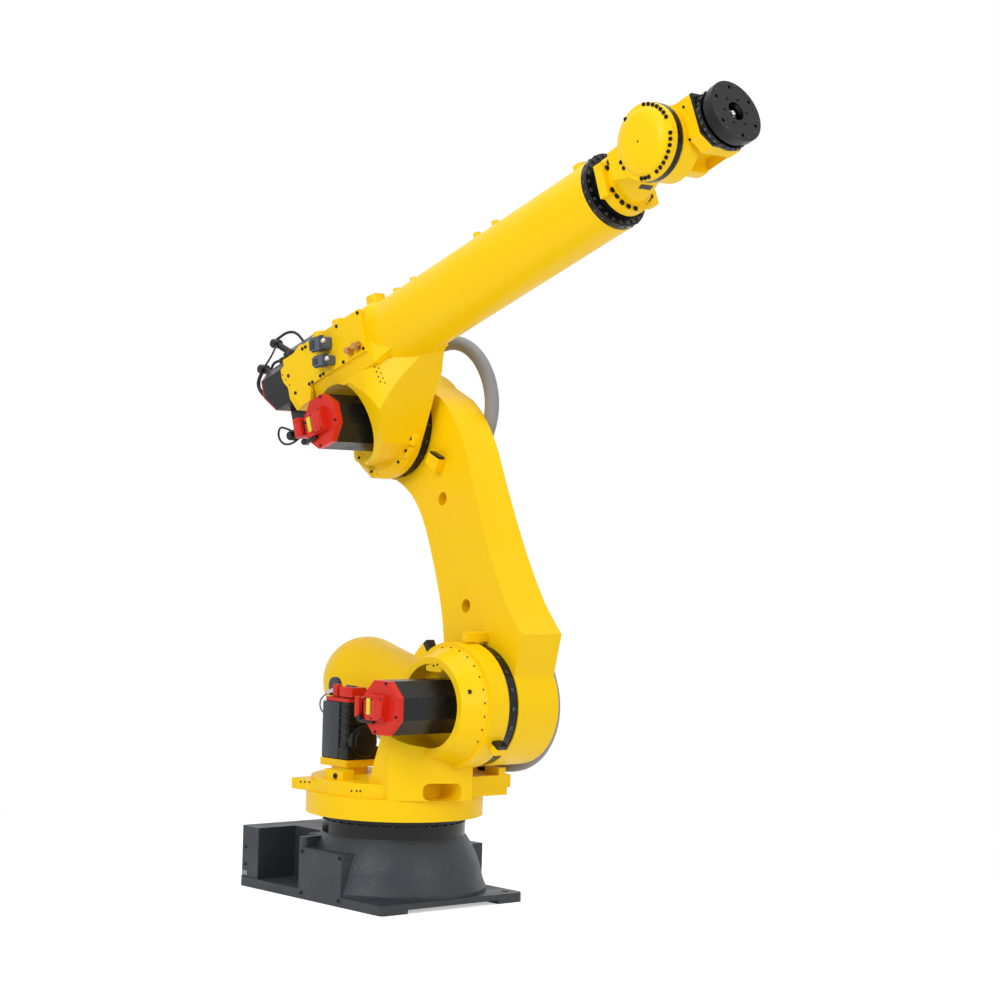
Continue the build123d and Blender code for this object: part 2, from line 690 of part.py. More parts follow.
# Forearm casting: elbow drum and neck, motor casing and the long tube
with BuildPart() as forearm_casting:
    with BuildSketch(elbow_plane(elbow_drum_end)):
        with BuildLine():
            Spline((440, 118), (361, 109), (333, 87), (302, 59), (259, 13))
            Polyline((259, 13), (142, -123), (60, -148), (-50, -132), (-60, elbow_rise - casing_bottom + 10),
                     (440, elbow_rise - casing_bottom + 10), (440, 118))
        make_face()
    extrude(amount=elbow_drum_end + casing_near_side)
    with BuildSketch(fore_section(-400)):
        with BuildLine():
            Polyline((neck_shift - casing_near_side, 107 - elbow_rise), (neck_shift - neck_low_side, -118 - elbow_rise),
                     (neck_shift - neck_low_side + 18, -170 - elbow_rise), (-400, -170 - elbow_rise),
                     (-400, 107 - elbow_rise), (neck_shift - casing_near_side, 107 - elbow_rise))
        make_face()
    extrude(amount=1000, dir=(cos(pitch), -neck_face_slope, sin(pitch)), mode=Mode.SUBTRACT)
    with BuildSketch(Plane(origin=(elbow_x, 0, elbow_z), x_dir=fore_along, z_dir=fore_up)):
        with BuildLine():
            Spline((170, -casing_near_side - 1), (255, -86), (335, -25), (440, 35))
            Polyline((440, 35), (445, -casing_near_side - 1), (170, -casing_near_side - 1))
        make_face()
    extrude(amount=200, both=True, mode=Mode.SUBTRACT)
    with BuildSketch(Plane(origin=(elbow_x, 0, elbow_z), x_dir=fore_along, z_dir=fore_up)):
        with BuildLine():
            Polyline((300, casing_far_side + 10), (450, casing_far_side + 10), (450, 50), (300, casing_far_side + 10))
        make_face()
    extrude(amount=200, both=True, mode=Mode.SUBTRACT)
    with BuildSketch(Plane(origin=(elbow_x, 0, elbow_z), x_dir=fore_along, z_dir=fore_up)):
        with BuildLine():
            Polyline((0, elbow_drum_end), (elbow_drum_radius, elbow_drum_end), (elbow_drum_radius, 85),
                     (elbow_boss_radius, elbow_drum_back), (0, elbow_drum_back), (0, elbow_drum_end))
        make_face()
    revolve(axis=Axis((elbow_x, 0, elbow_z), (0, 1, 0)))
    with BuildSketch(elbow_plane(elbow_drum_end)):
        with Locations((-176, -44), (-116, -124)):
            Circle(30)
    extrude(amount=14)
    with BuildSketch(fore_section(casing_rear)):
        with BuildLine():
            Polyline((casing_far_side, casing_top), (-casing_near_side, casing_top),
                     (-casing_near_side, -casing_bottom), (casing_far_side, -casing_bottom),
                     (casing_far_side, casing_top))
        casing_face = make_face()
        fillet(casing_face.vertices().group_by(Axis.Y)[-1], casing_corner)
    extrude(amount=casing_front - casing_rear)
    with BuildSketch(fore_section(casing_front)):
        with BuildLine():
            Polyline((casing_far_side, casing_top), (-casing_near_side, casing_top),
                     (-casing_near_side, -casing_bottom), (casing_far_side, -casing_bottom),
                     (casing_far_side, casing_top))
        casing_face = make_face()
        fillet(casing_face.vertices().group_by(Axis.Y)[-1], casing_corner)
    extrude(amount=casing_run_out, taper=casing_run_out_taper)
    with BuildSketch(fore_section(casing_rear)):
        with Locations(((casing_far_side - carrier_side) / 2, -(carrier_drop + casing_bottom) / 2 + 5)):
            Rectangle(casing_far_side + carrier_side, carrier_drop - casing_bottom + 10)
    extrude(amount=carrier_front - casing_rear)
    with BuildSketch(fore_section(casing_rear)):
        with Locations(lone_motor_place):
            octagon(lone_motor_width)
        with Locations(lower_twin_place, upper_twin_place):
            octagon(twin_motor_width)
    extrude(amount=motor_seat_thickness)
    with BuildSketch(fore_section(casing_rear)):
        with BuildLine():
            Polyline((-casing_near_side + 1, -casing_bottom), (-pad_side, -92), (-pad_side, 55),
                     (-casing_near_side + 1, 57), (-casing_near_side + 1, -casing_bottom))
        make_face()
    extrude(amount=casing_front - casing_rear)
    with BuildSketch(fore_section(tube_start, -tube_rear_drop)):
        Circle(tube_rear_radius)
    with BuildSketch(fore_section(tube_end, -tube_front_drop)):
        Circle(tube_front_radius)
    loft()
    with BuildSketch(fore_top(boss_root)):
        with Locations((-122, boss_y), (-5, boss_y)):
            Circle(small_boss_radius)
        with Locations((210, boss_y)):
            Circle(big_boss_radius)
    extrude(amount=boss_top - boss_root)
    with BuildSketch(fore_top(boss_root)):
        with Locations((325, boss_y), (420, boss_y)):
            Circle(pin_boss_radius)
    extrude(amount=tube_rear_radius - tube_rear_drop - boss_root + boss_stand)
    with BuildSketch(fore_top(boss_root)):
        with Locations((tube_end - 600, boss_y), (tube_end - 505, boss_y)):
            Circle(pin_boss_radius)
        with Locations((tube_end - 76, boss_y)):
            Circle(end_boss_radius)
    extrude(amount=tube_front_radius - tube_front_drop - boss_root + boss_stand / 2)
    with BuildSketch(elbow_plane(elbow_drum_back)):
        Circle(elbow_recess_radius)
    extrude(amount=400, mode=Mode.SUBTRACT)
    with BuildSketch(elbow_plane(elbow_drum_end)):
        Circle(hub_radius + shaft_gap)
    extrude(amount=hub_depth + hub_room, mode=Mode.SUBTRACT)
save(forearm_casting, "forearm_casting")

with BuildPart() as elbow_motor:
    with BuildSketch(elbow_plane(elbow_drum_back - seat_gap)):
        octagon(motor_width)
    extrude(amount=elbow_motor_reach + elbow_drum_back - cap_thickness - 2 * seat_gap)
save(elbow_motor, "elbow_motor")

with BuildPart() as elbow_motor_cap:
    with BuildSketch(elbow_plane(cap_thickness - elbow_motor_reach)):
        octagon(motor_width)
    extrude(amount=cap_thickness)
    with BuildSketch(elbow_plane(-elbow_motor_reach)):
        with Locations((-terminal_shift, 0)):
            Rectangle(terminal_width, terminal_height)
    extrude(amount=terminal_thickness)
save(elbow_motor_cap, "elbow_motor_cap")

# Three wrist motors in a cluster at the back of the forearm
motor_places = ((lone_motor_place, lone_motor_width), (lower_twin_place, twin_motor_width),
                (upper_twin_place, twin_motor_width))
for number, (place, width) in enumerate(motor_places, 1):
    with BuildPart() as wrist_motor:
        with BuildSketch(fore_section(casing_rear - seat_gap)):
            with Locations(place):
                octagon(width)
        extrude(amount=-wrist_motor_length)
    save(wrist_motor, "wrist_motor_" + str(number))
    with BuildPart() as wrist_motor_cap:
        with BuildSketch(fore_section(casing_rear - wrist_motor_length - 2 * seat_gap)):
            with Locations(place):
                octagon(width)
        extrude(amount=-cap_thickness)
    save(wrist_motor_cap, "wrist_motor_cap_" + str(number))

# Connector plate on its pad, with two latched connectors and two air fittings
plate_base = pad_side + seat_gap
with BuildPart() as connector_plate:
    with BuildSketch(elbow_plane(-plate_base)):
        with BuildLine():
            Polyline(*plate_outline_points, close=True)
        make_face()
    extrude(amount=plate_thickness)
save(connector_plate, "connector_plate")

plug_face = plate_base + plate_thickness + seat_gap
for number, (place, length, width) in enumerate(plugs, 1):
    with BuildPart() as connector_plug:
        with BuildSketch(elbow_plane(-plug_face)):
            with Locations(Location((place[0], place[1], 0), -plug_turn)):
                RectangleRounded(length, width, plug_corner)
        extrude(amount=plug_depth)
    save(connector_plug, "connector_plug_" + str(number))

for number, place in enumerate(fitting_places, 1):
    with BuildPart() as air_fitting:
        with BuildSketch(elbow_plane(-plug_face)):
            with Locations(place):
                RegularPolygon(fitting_nut_radius, 6)
        extrude(amount=fitting_nut_thickness)
        with BuildSketch(elbow_plane(-plug_face - fitting_nut_thickness)):
            with Locations(place):
                Circle(fitting_radius)
        extrude(amount=fitting_length)
    save(air_fitting, "air_fitting_" + str(number))

# Wrist roll reducer ring at the end of the tube
roll_ring_base = tube_end + seat_gap
roll_ring_top = roll_ring_base + roll_ring_thickness
with BuildPart() as roll_ring:
    with BuildSketch(fore_section(roll_ring_base)):
        Circle(roll_ring_radius)
    extrude(amount=roll_ring_band)
    with BuildSketch(fore_section(roll_ring_base + roll_ring_band)):
        Circle(wrist_flange_radius)
    extrude(amount=roll_ring_thickness - roll_ring_band)
    with BuildSketch(fore_section(roll_ring_top)):
        Circle(wrist_shaft_radius + shaft_gap)
    extrude(amount=-wrist_shaft_depth, mode=Mode.SUBTRACT)
save(roll_ring, "roll_ring")

# Wrist body: flange and neck, a wide cheek with the bending reducer and a slim bearing cheek
wrist_base = roll_ring_top + joint_gap
neck_start = wrist_base + wrist_flange_thickness
cheek_inner = hand_left_face + joint_gap
cheek_link_points = ((neck_waist + 22, 38), (-100, 44), (-60, 0), (-86, -74), (neck_waist + 22, -50))
with BuildPart() as wrist_body:
    with BuildSketch(fore_section(wrist_base - wrist_shaft_depth + hub_room)):
        Circle(wrist_shaft_radius)
    extrude(amount=wrist_shaft_depth)
    with BuildSketch(fore_section(wrist_base)):
        Circle(wrist_flange_radius)
        with Locations((-84, 0)):
            Rectangle(40, 108)
        with Locations((94, -38)):
            RectangleRounded(40, 56, 12)
    extrude(amount=wrist_flange_thickness)
    with BuildSketch(fore_section(neck_start - 6)):
        Circle(84)
    extrude(amount=forearm_reach + neck_root - neck_start + 7)
    with BuildSketch(fore_section(forearm_reach + neck_root)):
        with Locations((neck_root_section[0], 0)):
            RectangleRounded(*neck_root_section[1:])
    with BuildSketch(fore_section(forearm_reach + neck_waist)):
        with Locations((neck_waist_section[0], 0)):
            RectangleRounded(*neck_waist_section[1:])
    loft()
    with BuildSketch(fore_section(forearm_reach + neck_waist)):
        with Locations((neck_waist_section[0], 0)):
            RectangleRounded(*neck_waist_section[1:])
    with BuildSketch(fore_section(forearm_reach + neck_tip)):
        with Locations((neck_tip_section[0], 0)):
            RectangleRounded(*neck_tip_section[1:])
    loft()
    with BuildSketch(bend_side(-seal_face)):
        Circle(bend_radius)
        with BuildLine():
            Polyline(*cheek_link_points, close=True)
        make_face()
    extrude(amount=cover_face - seal_face)
    with BuildSketch(Plane(origin=(bend_x, 0, bend_z), x_dir=fore_along, z_dir=fore_up)):
        with BuildLine():
            Polyline((neck_waist - 10, 20), (neck_waist, 74), (-150, 116), (-120, slim_cheek_face),
                     (0, slim_cheek_face), (0, cheek_inner), (-128, cheek_inner), (neck_tip, cheek_inner - 12),
                     (neck_tip, 20), (neck_waist - 10, 20))
        make_face()
    extrude(amount=slim_cheek_half_height, both=True)
    with BuildSketch(bend_side(slim_cheek_face)):
        Circle(slim_cheek_radius)
    extrude(amount=slim_cheek_face - cheek_inner)
    with BuildSketch(bend_side(slim_cheek_face)):
        Circle(slim_hub_radius + shaft_gap)
    extrude(amount=slim_cheek_face - cheek_inner, mode=Mode.SUBTRACT)
    with BuildSketch(bend_side(cheek_inner)):
        Circle(bend_radius + joint_gap)
    extrude(amount=cheek_inner + seal_face, mode=Mode.SUBTRACT)
    with BuildSketch(bend_side(-seal_face)):
        Circle(bend_hub_radius + shaft_gap)
    extrude(amount=bend_hub_depth, mode=Mode.SUBTRACT)
save(wrist_body, "wrist_body")

# Domed cover over the bending reducer, on the wide cheek
dome_plane = Plane(origin=(bend_x, -cover_face - seat_gap, bend_z), x_dir=(1, 0, 0), z_dir=(0, 0, 1))
with BuildPart() as bend_cover:
    with BuildSketch(dome_plane):
        with BuildLine():
            Polyline((0, 0), (bend_radius, 0), (bend_radius, -7), (bend_radius - 12, -10))
            Spline((bend_radius - 12, -10), (bend_radius - 26, 12 - dome_height),
                   (bend_radius - 52, 3 - dome_height), (0, -dome_height))
            Line((0, -dome_height), (0, 0))
        make_face()
    revolve(axis=Axis((bend_x, 0, bend_z), (0, 1, 0)))
save(bend_cover, "bend_cover")

# Hand: drum on the wide cheek, a block with a square front, and an open pocket underneath
drum_radius = bend_radius - 4
drum_face = seal_face - joint_gap
with BuildPart() as hand:
    with BuildSketch(bend_plane(hand_left_face)):
        with BuildLine():
            Polyline((0, hand_hump_height), (45, hand_hump_height), (95, hand_half_height),
                     (hand_plate_face, hand_half_height), (hand_plate_face, -hand_half_height),
                     (0, -hand_half_height))
            RadiusArc((0, -hand_half_height), (0, hand_hump_height), (hand_half_height + hand_hump_height) / 2 + 0.1)
        make_face()
    extrude(amount=hand_left_face + hand_right_face)
    with BuildSketch(hand_section(-hand_plate_face)):
        with BuildLine():
            Polyline((hand_left_face, -hand_half_height), (hand_left_face, hand_corner_cut - hand_half_height),
                     (hand_left_face - hand_corner_cut, -hand_half_height), close=True)
        make_face()
        with BuildLine():
            Polyline((-hand_right_face, -hand_half_height), (-hand_right_face, hand_corner_cut - hand_half_height),
                     (hand_corner_cut - hand_right_face, -hand_half_height), close=True)
        make_face()
    extrude(amount=2 * hand_plate_face + 1, mode=Mode.SUBTRACT)
    with BuildSketch(bend_plane(hand_left_face - 28)):
        with Locations((62, -72)):
            RectangleRounded(100, 64, 18)
    extrude(amount=200, mode=Mode.SUBTRACT)
    with BuildSketch(bend_plane(-45)):
        Circle(drum_radius)
    extrude(amount=drum_face - 45)
    with BuildSketch(bend_plane(-drum_face)):
        Circle(bend_hub_radius)
    extrude(amount=joint_gap + bend_hub_depth - 2)
    with BuildSketch(bend_plane(hand_left_face)):
        Circle(slim_hub_radius)
    extrude(amount=-slim_hub_length)
save(hand, "hand")

with BuildPart() as bend_seal:
    with BuildSketch(bend_side(seal_gap - seal_face)):
        Circle(drum_radius + 1)
        Circle(bend_hub_radius + 12, mode=Mode.SUBTRACT)
    extrude(amount=-4)
save(bend_seal, "bend_seal")

# Square plate and disc of the flange's reducer
reducer_base = hand_plate_face + seat_gap
disc_base = reducer_base + hand_plate_thickness
reducer_top = disc_base + hand_reducer_thickness
with BuildPart() as hand_reducer:
    with BuildSketch(hand_section(reducer_base)):
        plate_outline = Rectangle(2 * hand_right_face, 2 * hand_half_height)
        chamfer(plate_outline.vertices().group_by(Axis.Y)[0], hand_corner_cut)
    extrude(amount=hand_plate_thickness)
    with BuildSketch(hand_section(disc_base)):
        Circle(hand_reducer_radius)
    extrude(amount=hand_reducer_thickness)
    with BuildSketch(hand_section(reducer_top)):
        Circle(flange_shaft_radius + shaft_gap)
    extrude(amount=-flange_shaft_depth, mode=Mode.SUBTRACT)
save(hand_reducer, "hand_reducer")

flange_back = reducer_top + joint_gap
disc_back = flange_reach - flange_disc_thickness
with BuildPart() as tool_flange:
    with BuildSketch(hand_section(flange_back - flange_shaft_depth)):
        Circle(flange_shaft_radius)
    extrude(amount=flange_shaft_depth)
    with BuildSketch(hand_section(flange_back)):
        Circle(flange_neck_radius)
    extrude(amount=disc_back - flange_back)
    with BuildSketch(hand_section(disc_back)):
        Circle(tool_flange_radius)
    extrude(amount=flange_disc_thickness)
    with BuildSketch(hand_section(flange_reach)):
        Circle(tool_bore_radius)
    extrude(amount=-tool_bore_depth, mode=Mode.SUBTRACT)
    with BuildSketch(hand_section(flange_reach)):
        with PolarLocations(tool_bolt_circle, 6, start_angle=30):
            Circle(tool_bolt_radius)
    extrude(amount=-tool_bolt_depth, mode=Mode.SUBTRACT)
save(tool_flange, "tool_flange")
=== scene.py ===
# %% [markdown]
# # A long-reach factory robot arm
# The arm stands on a dark cast base. Its castings are sprayed in a thick yellow enamel, its
# bearings and wrist are black, and its servo motors end in red caps. The solid pieces come
# ready-made in one shared frame, in metres, with the arm's front towards +X. This lesson gives
# each of them its finish and adds what is too small for the solids: screws, connectors, cables
# and the grey hose.

# %% Load the solid pieces
import bmesh
import bpy
import json
from math import cos, pi, radians, sin
from mathutils import Matrix, Vector
from mathutils.bvhtree import BVHTree


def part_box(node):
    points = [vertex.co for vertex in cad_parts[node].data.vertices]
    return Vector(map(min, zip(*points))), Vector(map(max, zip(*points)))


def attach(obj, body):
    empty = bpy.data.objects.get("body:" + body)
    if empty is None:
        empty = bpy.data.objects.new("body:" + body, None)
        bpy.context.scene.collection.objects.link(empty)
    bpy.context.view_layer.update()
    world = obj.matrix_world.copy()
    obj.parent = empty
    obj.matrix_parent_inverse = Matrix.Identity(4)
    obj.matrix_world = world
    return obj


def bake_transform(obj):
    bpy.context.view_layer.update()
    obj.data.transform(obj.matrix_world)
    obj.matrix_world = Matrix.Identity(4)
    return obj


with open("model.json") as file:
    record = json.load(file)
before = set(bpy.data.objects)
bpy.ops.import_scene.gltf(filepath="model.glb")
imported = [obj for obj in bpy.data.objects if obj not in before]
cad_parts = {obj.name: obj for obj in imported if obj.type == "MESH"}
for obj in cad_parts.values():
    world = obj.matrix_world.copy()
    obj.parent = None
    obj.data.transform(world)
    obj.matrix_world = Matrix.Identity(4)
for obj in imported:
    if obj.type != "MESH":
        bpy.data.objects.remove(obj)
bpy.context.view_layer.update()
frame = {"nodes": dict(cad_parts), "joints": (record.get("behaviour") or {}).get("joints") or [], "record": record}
nodes = frame["nodes"]

# %% [markdown]
# ## The camera
# The photograph was taken from the arm's front right, a little above its shoulder, with a long
# lens. A long lens keeps the far parallel edges nearly parallel, so its focal length matters as
# much as its place. A camera can be aimed by angles, but here its picture's right and its up are
# given as vectors, and the line of sight is square to both.

# %% Camera
camera_place = Vector((6.50237, -5.29349, 1.30431))
picture_right = Vector((0.66096, 0.74985, 0.02918))
picture_up = Vector((-0.01520, -0.02550, 0.99956))
line_of_sight = picture_up.cross(picture_right).normalized()
focal_pixels = 2472.24
photo_pixels = 1000
sensor_width = 36.0
far_clip = 60.0

camera_data = bpy.data.cameras.new("camera")
camera_data.sensor_width = sensor_width
camera_data.lens = focal_pixels * sensor_width / photo_pixels
camera_data.clip_end = far_clip
camera = bpy.data.objects.new("camera", camera_data)
bpy.context.scene.collection.objects.link(camera)
turn = Matrix((picture_right, picture_up, -line_of_sight)).transposed()
camera.matrix_world = Matrix.Translation(camera_place) @ turn.to_4x4()
bpy.context.scene.camera = camera
print("lens:", round(camera_data.lens, 1), "mm")

# %% [markdown]
# ## Soft light
# The picture has very soft light. A large lamp stands behind the camera's left shoulder, a wide
# one hangs overhead and a weak one fills the right side. Sun or spot lamps would draw hard edges,
# so these are square area lamps: the wider such a lamp is, the softer its shadows are.

# %% Lamps
scene = bpy.context.scene
scene.view_settings.view_transform = "Standard"
arm_middle = Vector((0.3, 0.0, 1.4))


def add_lamp(name, place, width, power):
    """A soft square lamp that looks from its place at the arm's middle."""
    data = bpy.data.lights.new(name, "AREA")
    data.shape = "SQUARE"
    data.size = width
    data.energy = power
    lamp = bpy.data.objects.new(name, data)
    scene.collection.objects.link(lamp)
    lamp.location = place
    lamp.rotation_euler = (arm_middle - Vector(place)).to_track_quat("-Z", "Y").to_euler()
    print(name, power, "W")


add_lamp("key_lamp", (2.2, -6.5, 5.2), 4.0, 300)
add_lamp("top_lamp", (0.5, 0.5, 7.0), 5.0, 190)
add_lamp("right_lamp", (7.0, 0.5, 3.0), 3.0, 110)

# %% [markdown]
# ## White backdrop
# Behind the arm is a white sweep. It could be a lit wall, but more light would fall on the arm
# too. So the world is white for the camera alone, and dimmer as a light. A face that mirrors the
# room has to show the same white, so those rays count as the camera's. The two helpers below
# serve the floor as well.

# %% World
def math_node(tree, operation, first, second):
    """The result of one operation on a node's output and on another output or a plain number."""
    made = tree.nodes.new("ShaderNodeMath")
    made.operation = operation
    tree.links.new(first, made.inputs[0])
    if isinstance(second, float):
        made.inputs[1].default_value = second
    else:
        tree.links.new(second, made.inputs[1])
    return made.outputs[0]


def seen_directly(tree):
    """1 where the camera, a mirror-like face or a clear one looks straight at this."""
    rays = tree.nodes.new("ShaderNodeLightPath").outputs
    indirect = math_node(tree, "MAXIMUM", rays["Is Glossy Ray"], rays["Is Transmission Ray"])
    return math_node(tree, "MAXIMUM", rays["Is Camera Ray"], indirect)


ambient_strength = 0.5
world = bpy.data.worlds.new("studio")
scene.world = world
world.use_nodes = True
world_tree = world.node_tree
world_tree.nodes.clear()
sky_light = world_tree.nodes.new("ShaderNodeBackground")
sky_light.inputs["Strength"].default_value = ambient_strength
sky_white = world_tree.nodes.new("ShaderNodeBackground")
sky_white.inputs["Color"].default_value = (1, 1, 1, 1)
sky_white.inputs["Strength"].default_value = 1.0
sky_mix = world_tree.nodes.new("ShaderNodeMixShader")
sky_out = world_tree.nodes.new("ShaderNodeOutputWorld")
world_tree.links.new(seen_directly(world_tree), sky_mix.inputs[0])
world_tree.links.new(sky_light.outputs[0], sky_mix.inputs[1])
world_tree.links.new(sky_white.outputs[0], sky_mix.inputs[2])
world_tree.links.new(sky_mix.outputs[0], sky_out.inputs["Surface"])
print("world strength as a light:", ambient_strength)

# %% [markdown]
# ## Pale floor
# The floor is pale and matt near the arm, where it has to show the contact shadow, and fades to
# the backdrop's white further out, so that no horizon line crosses the picture. The fade follows
# the distance from the floor's middle, which the Object coordinates give.

# %% Floor
floor_half = 14.0
floor_grey = 0.93
floor_roughness = 0.9
floor_glow = 0.45
shadow_reach = 1.1
fade_end = 2.6

floor_mesh = bpy.data.meshes.new("floor")
floor_corners = [(-floor_half, -floor_half, 0), (floor_half, -floor_half, 0),
                 (floor_half, floor_half, 0), (-floor_half, floor_half, 0)]
floor_mesh.from_pydata(floor_corners, [], [(0, 1, 2, 3)])
floor = bpy.data.objects.new("floor", floor_mesh)
scene.collection.objects.link(floor)
floor_paint = bpy.data.materials.new("floor_white")
floor_paint.use_nodes = True
floor_tree = floor_paint.node_tree
floor_shader = floor_tree.nodes["Principled BSDF"]
floor_shader.inputs["Base Color"].default_value = (floor_grey, floor_grey, floor_grey, 1)
floor_shader.inputs["Roughness"].default_value = floor_roughness
floor_shader.inputs["Emission Color"].default_value = (1, 1, 1, 1)
floor_seen = seen_directly(floor_tree)
floor_tree.links.new(math_node(floor_tree, "MULTIPLY", floor_seen, floor_glow),
                     floor_shader.inputs["Emission Strength"])

floor_place = floor_tree.nodes.new("ShaderNodeTexCoord")
floor_distance = floor_tree.nodes.new("ShaderNodeVectorMath")
floor_distance.operation = "LENGTH"
floor_tree.links.new(floor_place.outputs["Object"], floor_distance.inputs[0])
floor_fade = floor_tree.nodes.new("ShaderNodeMapRange")
floor_fade.interpolation_type = "SMOOTHSTEP"
floor_fade.inputs["From Min"].default_value = shadow_reach
floor_fade.inputs["From Max"].default_value = fade_end
floor_tree.links.new(floor_distance.outputs["Value"], floor_fade.inputs["Value"])
floor_white = floor_tree.nodes.new("ShaderNodeEmission")
floor_blend = floor_tree.nodes.new("ShaderNodeMixShader")
floor_tree.links.new(math_node(floor_tree, "MULTIPLY", floor_fade.outputs["Result"], floor_seen),
                     floor_blend.inputs[0])
floor_tree.links.new(floor_shader.outputs[0], floor_blend.inputs[1])
floor_tree.links.new(floor_white.outputs[0], floor_blend.inputs[2])
floor_tree.links.new(floor_blend.outputs[0], floor_tree.nodes["Material Output"].inputs["Surface"])
floor_mesh.materials.append(floor_paint)
print("floor fades from", shadow_reach, "to", fade_end, "m")

# %% [markdown]
# ## Enamel on cast iron
# Sprayed enamel is never a flat colour. The casting under it is slightly lumpy, the paint has a
# fine orange-peel skin, and dust and handling change its gloss from place to place. A photograph
# as a texture could show that, but it would stretch on the castings. So each finish below mixes
# two near colours with a broad noise, varies the roughness with a second one, and adds up to two
# heights of bump. All of them read Object coordinates, so the pattern stays on a piece that moves.
# A Mix node keeps its colour sockets behind those for numbers and vectors, as the three numbers
# below say.

# %% A helper for every finish
patch_scale = 2.5
patch_detail = 4.0
gloss_scale = 4 * patch_scale
gloss_detail = 3.0
gloss_spread = 0.08
noise_low, noise_high = 0.3, 0.7
skin_detail = 2.0
grains_per_lump = 8
coat_roughness = 0.12
mix_first, mix_second, mix_result = 6, 7, 2


def finish(name, colour, second_colour, roughness, grain, grain_depth, lump_depth=0.0,
           metallic=0.0, coat=0.0, specular=0.5):
    """A surface with a broad change of colour, uneven gloss and a fine skin."""
    material = bpy.data.materials.new(name)
    material.use_nodes = True
    tree = material.node_tree
    shader = tree.nodes["Principled BSDF"]
    shader.inputs["Metallic"].default_value = metallic
    shader.inputs["Specular IOR Level"].default_value = specular
    shader.inputs["Coat Weight"].default_value = coat
    shader.inputs["Coat Roughness"].default_value = coat_roughness
    place = tree.nodes.new("ShaderNodeTexCoord")

    def noise(scale, detail):
        node = tree.nodes.new("ShaderNodeTexNoise")
        node.inputs["Scale"].default_value = scale
        node.inputs["Detail"].default_value = detail
        tree.links.new(place.outputs["Object"], node.inputs["Vector"])
        return node.outputs["Fac"]

    mix = tree.nodes.new("ShaderNodeMix")
    mix.name = "colour"
    mix.data_type = "RGBA"
    mix.inputs[mix_first].default_value = (*colour, 1)
    mix.inputs[mix_second].default_value = (*second_colour, 1)
    tree.links.new(noise(patch_scale, patch_detail), mix.inputs[0])
    tree.links.new(mix.outputs[mix_result], shader.inputs["Base Color"])

    gloss = tree.nodes.new("ShaderNodeMapRange")
    gloss.inputs["From Min"].default_value = noise_low
    gloss.inputs["From Max"].default_value = noise_high
    gloss.inputs["To Min"].default_value = roughness - gloss_spread
    gloss.inputs["To Max"].default_value = roughness + gloss_spread
    tree.links.new(noise(gloss_scale, gloss_detail), gloss.inputs["Value"])
    tree.links.new(gloss.outputs["Result"], shader.inputs["Roughness"])

    skin = tree.nodes.new("ShaderNodeBump")
    skin.inputs["Distance"].default_value = grain_depth
    tree.links.new(noise(grain, skin_detail), skin.inputs["Height"])
    if lump_depth:
        lumps = tree.nodes.new("ShaderNodeBump")
        lumps.inputs["Distance"].default_value = lump_depth
        tree.links.new(noise(grain / grains_per_lump, skin_detail), lumps.inputs["Height"])
        tree.links.new(lumps.outputs["Normal"], skin.inputs["Normal"])
    tree.links.new(skin.outputs["Normal"], shader.inputs["Normal"])
    return material


# %% [markdown]
# ## Paints of the castings
# The yellow is close to orange and only half glossy, with a thin clear coat. The base is sprayed
# dark grey over rough sand-cast iron, so its grain is the deepest. The rings are smooth, almost
# black and glossier.

# %% Enamels
yellow_enamel = finish("yellow_enamel", (0.94, 0.60, 0.001), (0.90, 0.565, 0.001), 0.40,
                       90, 0.0003, lump_depth=0.0012, coat=0.04, specular=0.16)
base_enamel = finish("base_enamel", (0.036, 0.041, 0.052), (0.024, 0.028, 0.036), 0.46,
                     110, 0.0016, lump_depth=0.0030, specular=0.35)
black_enamel = finish("black_enamel", (0.003, 0.003, 0.0035), (0.005, 0.005, 0.006), 0.24,
                      140, 0.0003, specular=0.3)
label_yellow = finish("label_yellow", (0.72, 0.72, 0.02), (0.66, 0.66, 0.02), 0.35,
                      200, 0.0001, specular=0.3)
print("materials so far:", len(bpy.data.materials))

# %% [markdown]
# ## Motors, hose and connectors
# The motors have a smooth black skin and a red cap, the hose is matt rubber, and the connectors
# are moulded in a bluish grey. Dark plastic looks right only with little mirror reflection, so
# their specular level stays low.

# %% Motor, rubber and plastic finishes
cap_red = (0.66, 0.020, 0.006)
motor_black = finish("motor_black", (0.005, 0.0055, 0.007), (0.009, 0.010, 0.012), 0.30,
                     200, 0.0004, specular=0.3)
motor_red = finish("motor_red", cap_red, (0.58, 0.015, 0.005), 0.36,
                   160, 0.0003, coat=0.05, specular=0.25)
hose_grey = finish("hose_grey", (0.30, 0.295, 0.305), (0.25, 0.247, 0.255), 0.6,
                   300, 0.0004, specular=0.3)
connector_grey = finish("connector_grey", (0.10, 0.12, 0.15), (0.075, 0.09, 0.115), 0.38,
                        200, 0.0003, specular=0.35)
panel_grey = finish("panel_grey", (0.040, 0.046, 0.060), (0.03, 0.035, 0.046), 0.36,
                    200, 0.0003, specular=0.3)
print("materials so far:", len(bpy.data.materials))

# %% [markdown]
# ## Metals
# Screws are blackened, those in the bearing rings are oiled steel, and the few bright parts are
# bare steel and brass. A metal's base colour is the colour of its reflection, so it is far
# lighter than the paint beside it.

# %% Metals
dark_screw = finish("dark_screw", (0.008, 0.008, 0.010), (0.014, 0.014, 0.016), 0.30,
                    400, 0.0001, metallic=0.4, specular=0.3)
oiled_steel = finish("oiled_steel", (0.12, 0.12, 0.13), (0.08, 0.08, 0.09), 0.30,
                     400, 0.0001, metallic=0.8)
bright_steel = finish("bright_steel", (0.55, 0.55, 0.56), (0.45, 0.45, 0.46), 0.28,
                      300, 0.0001, metallic=1.0)
fitting_brass = finish("fitting_brass", (0.62, 0.36, 0.16), (0.52, 0.29, 0.12), 0.28,
                       300, 0.0001, metallic=1.0)
print("materials:", len(bpy.data.materials))

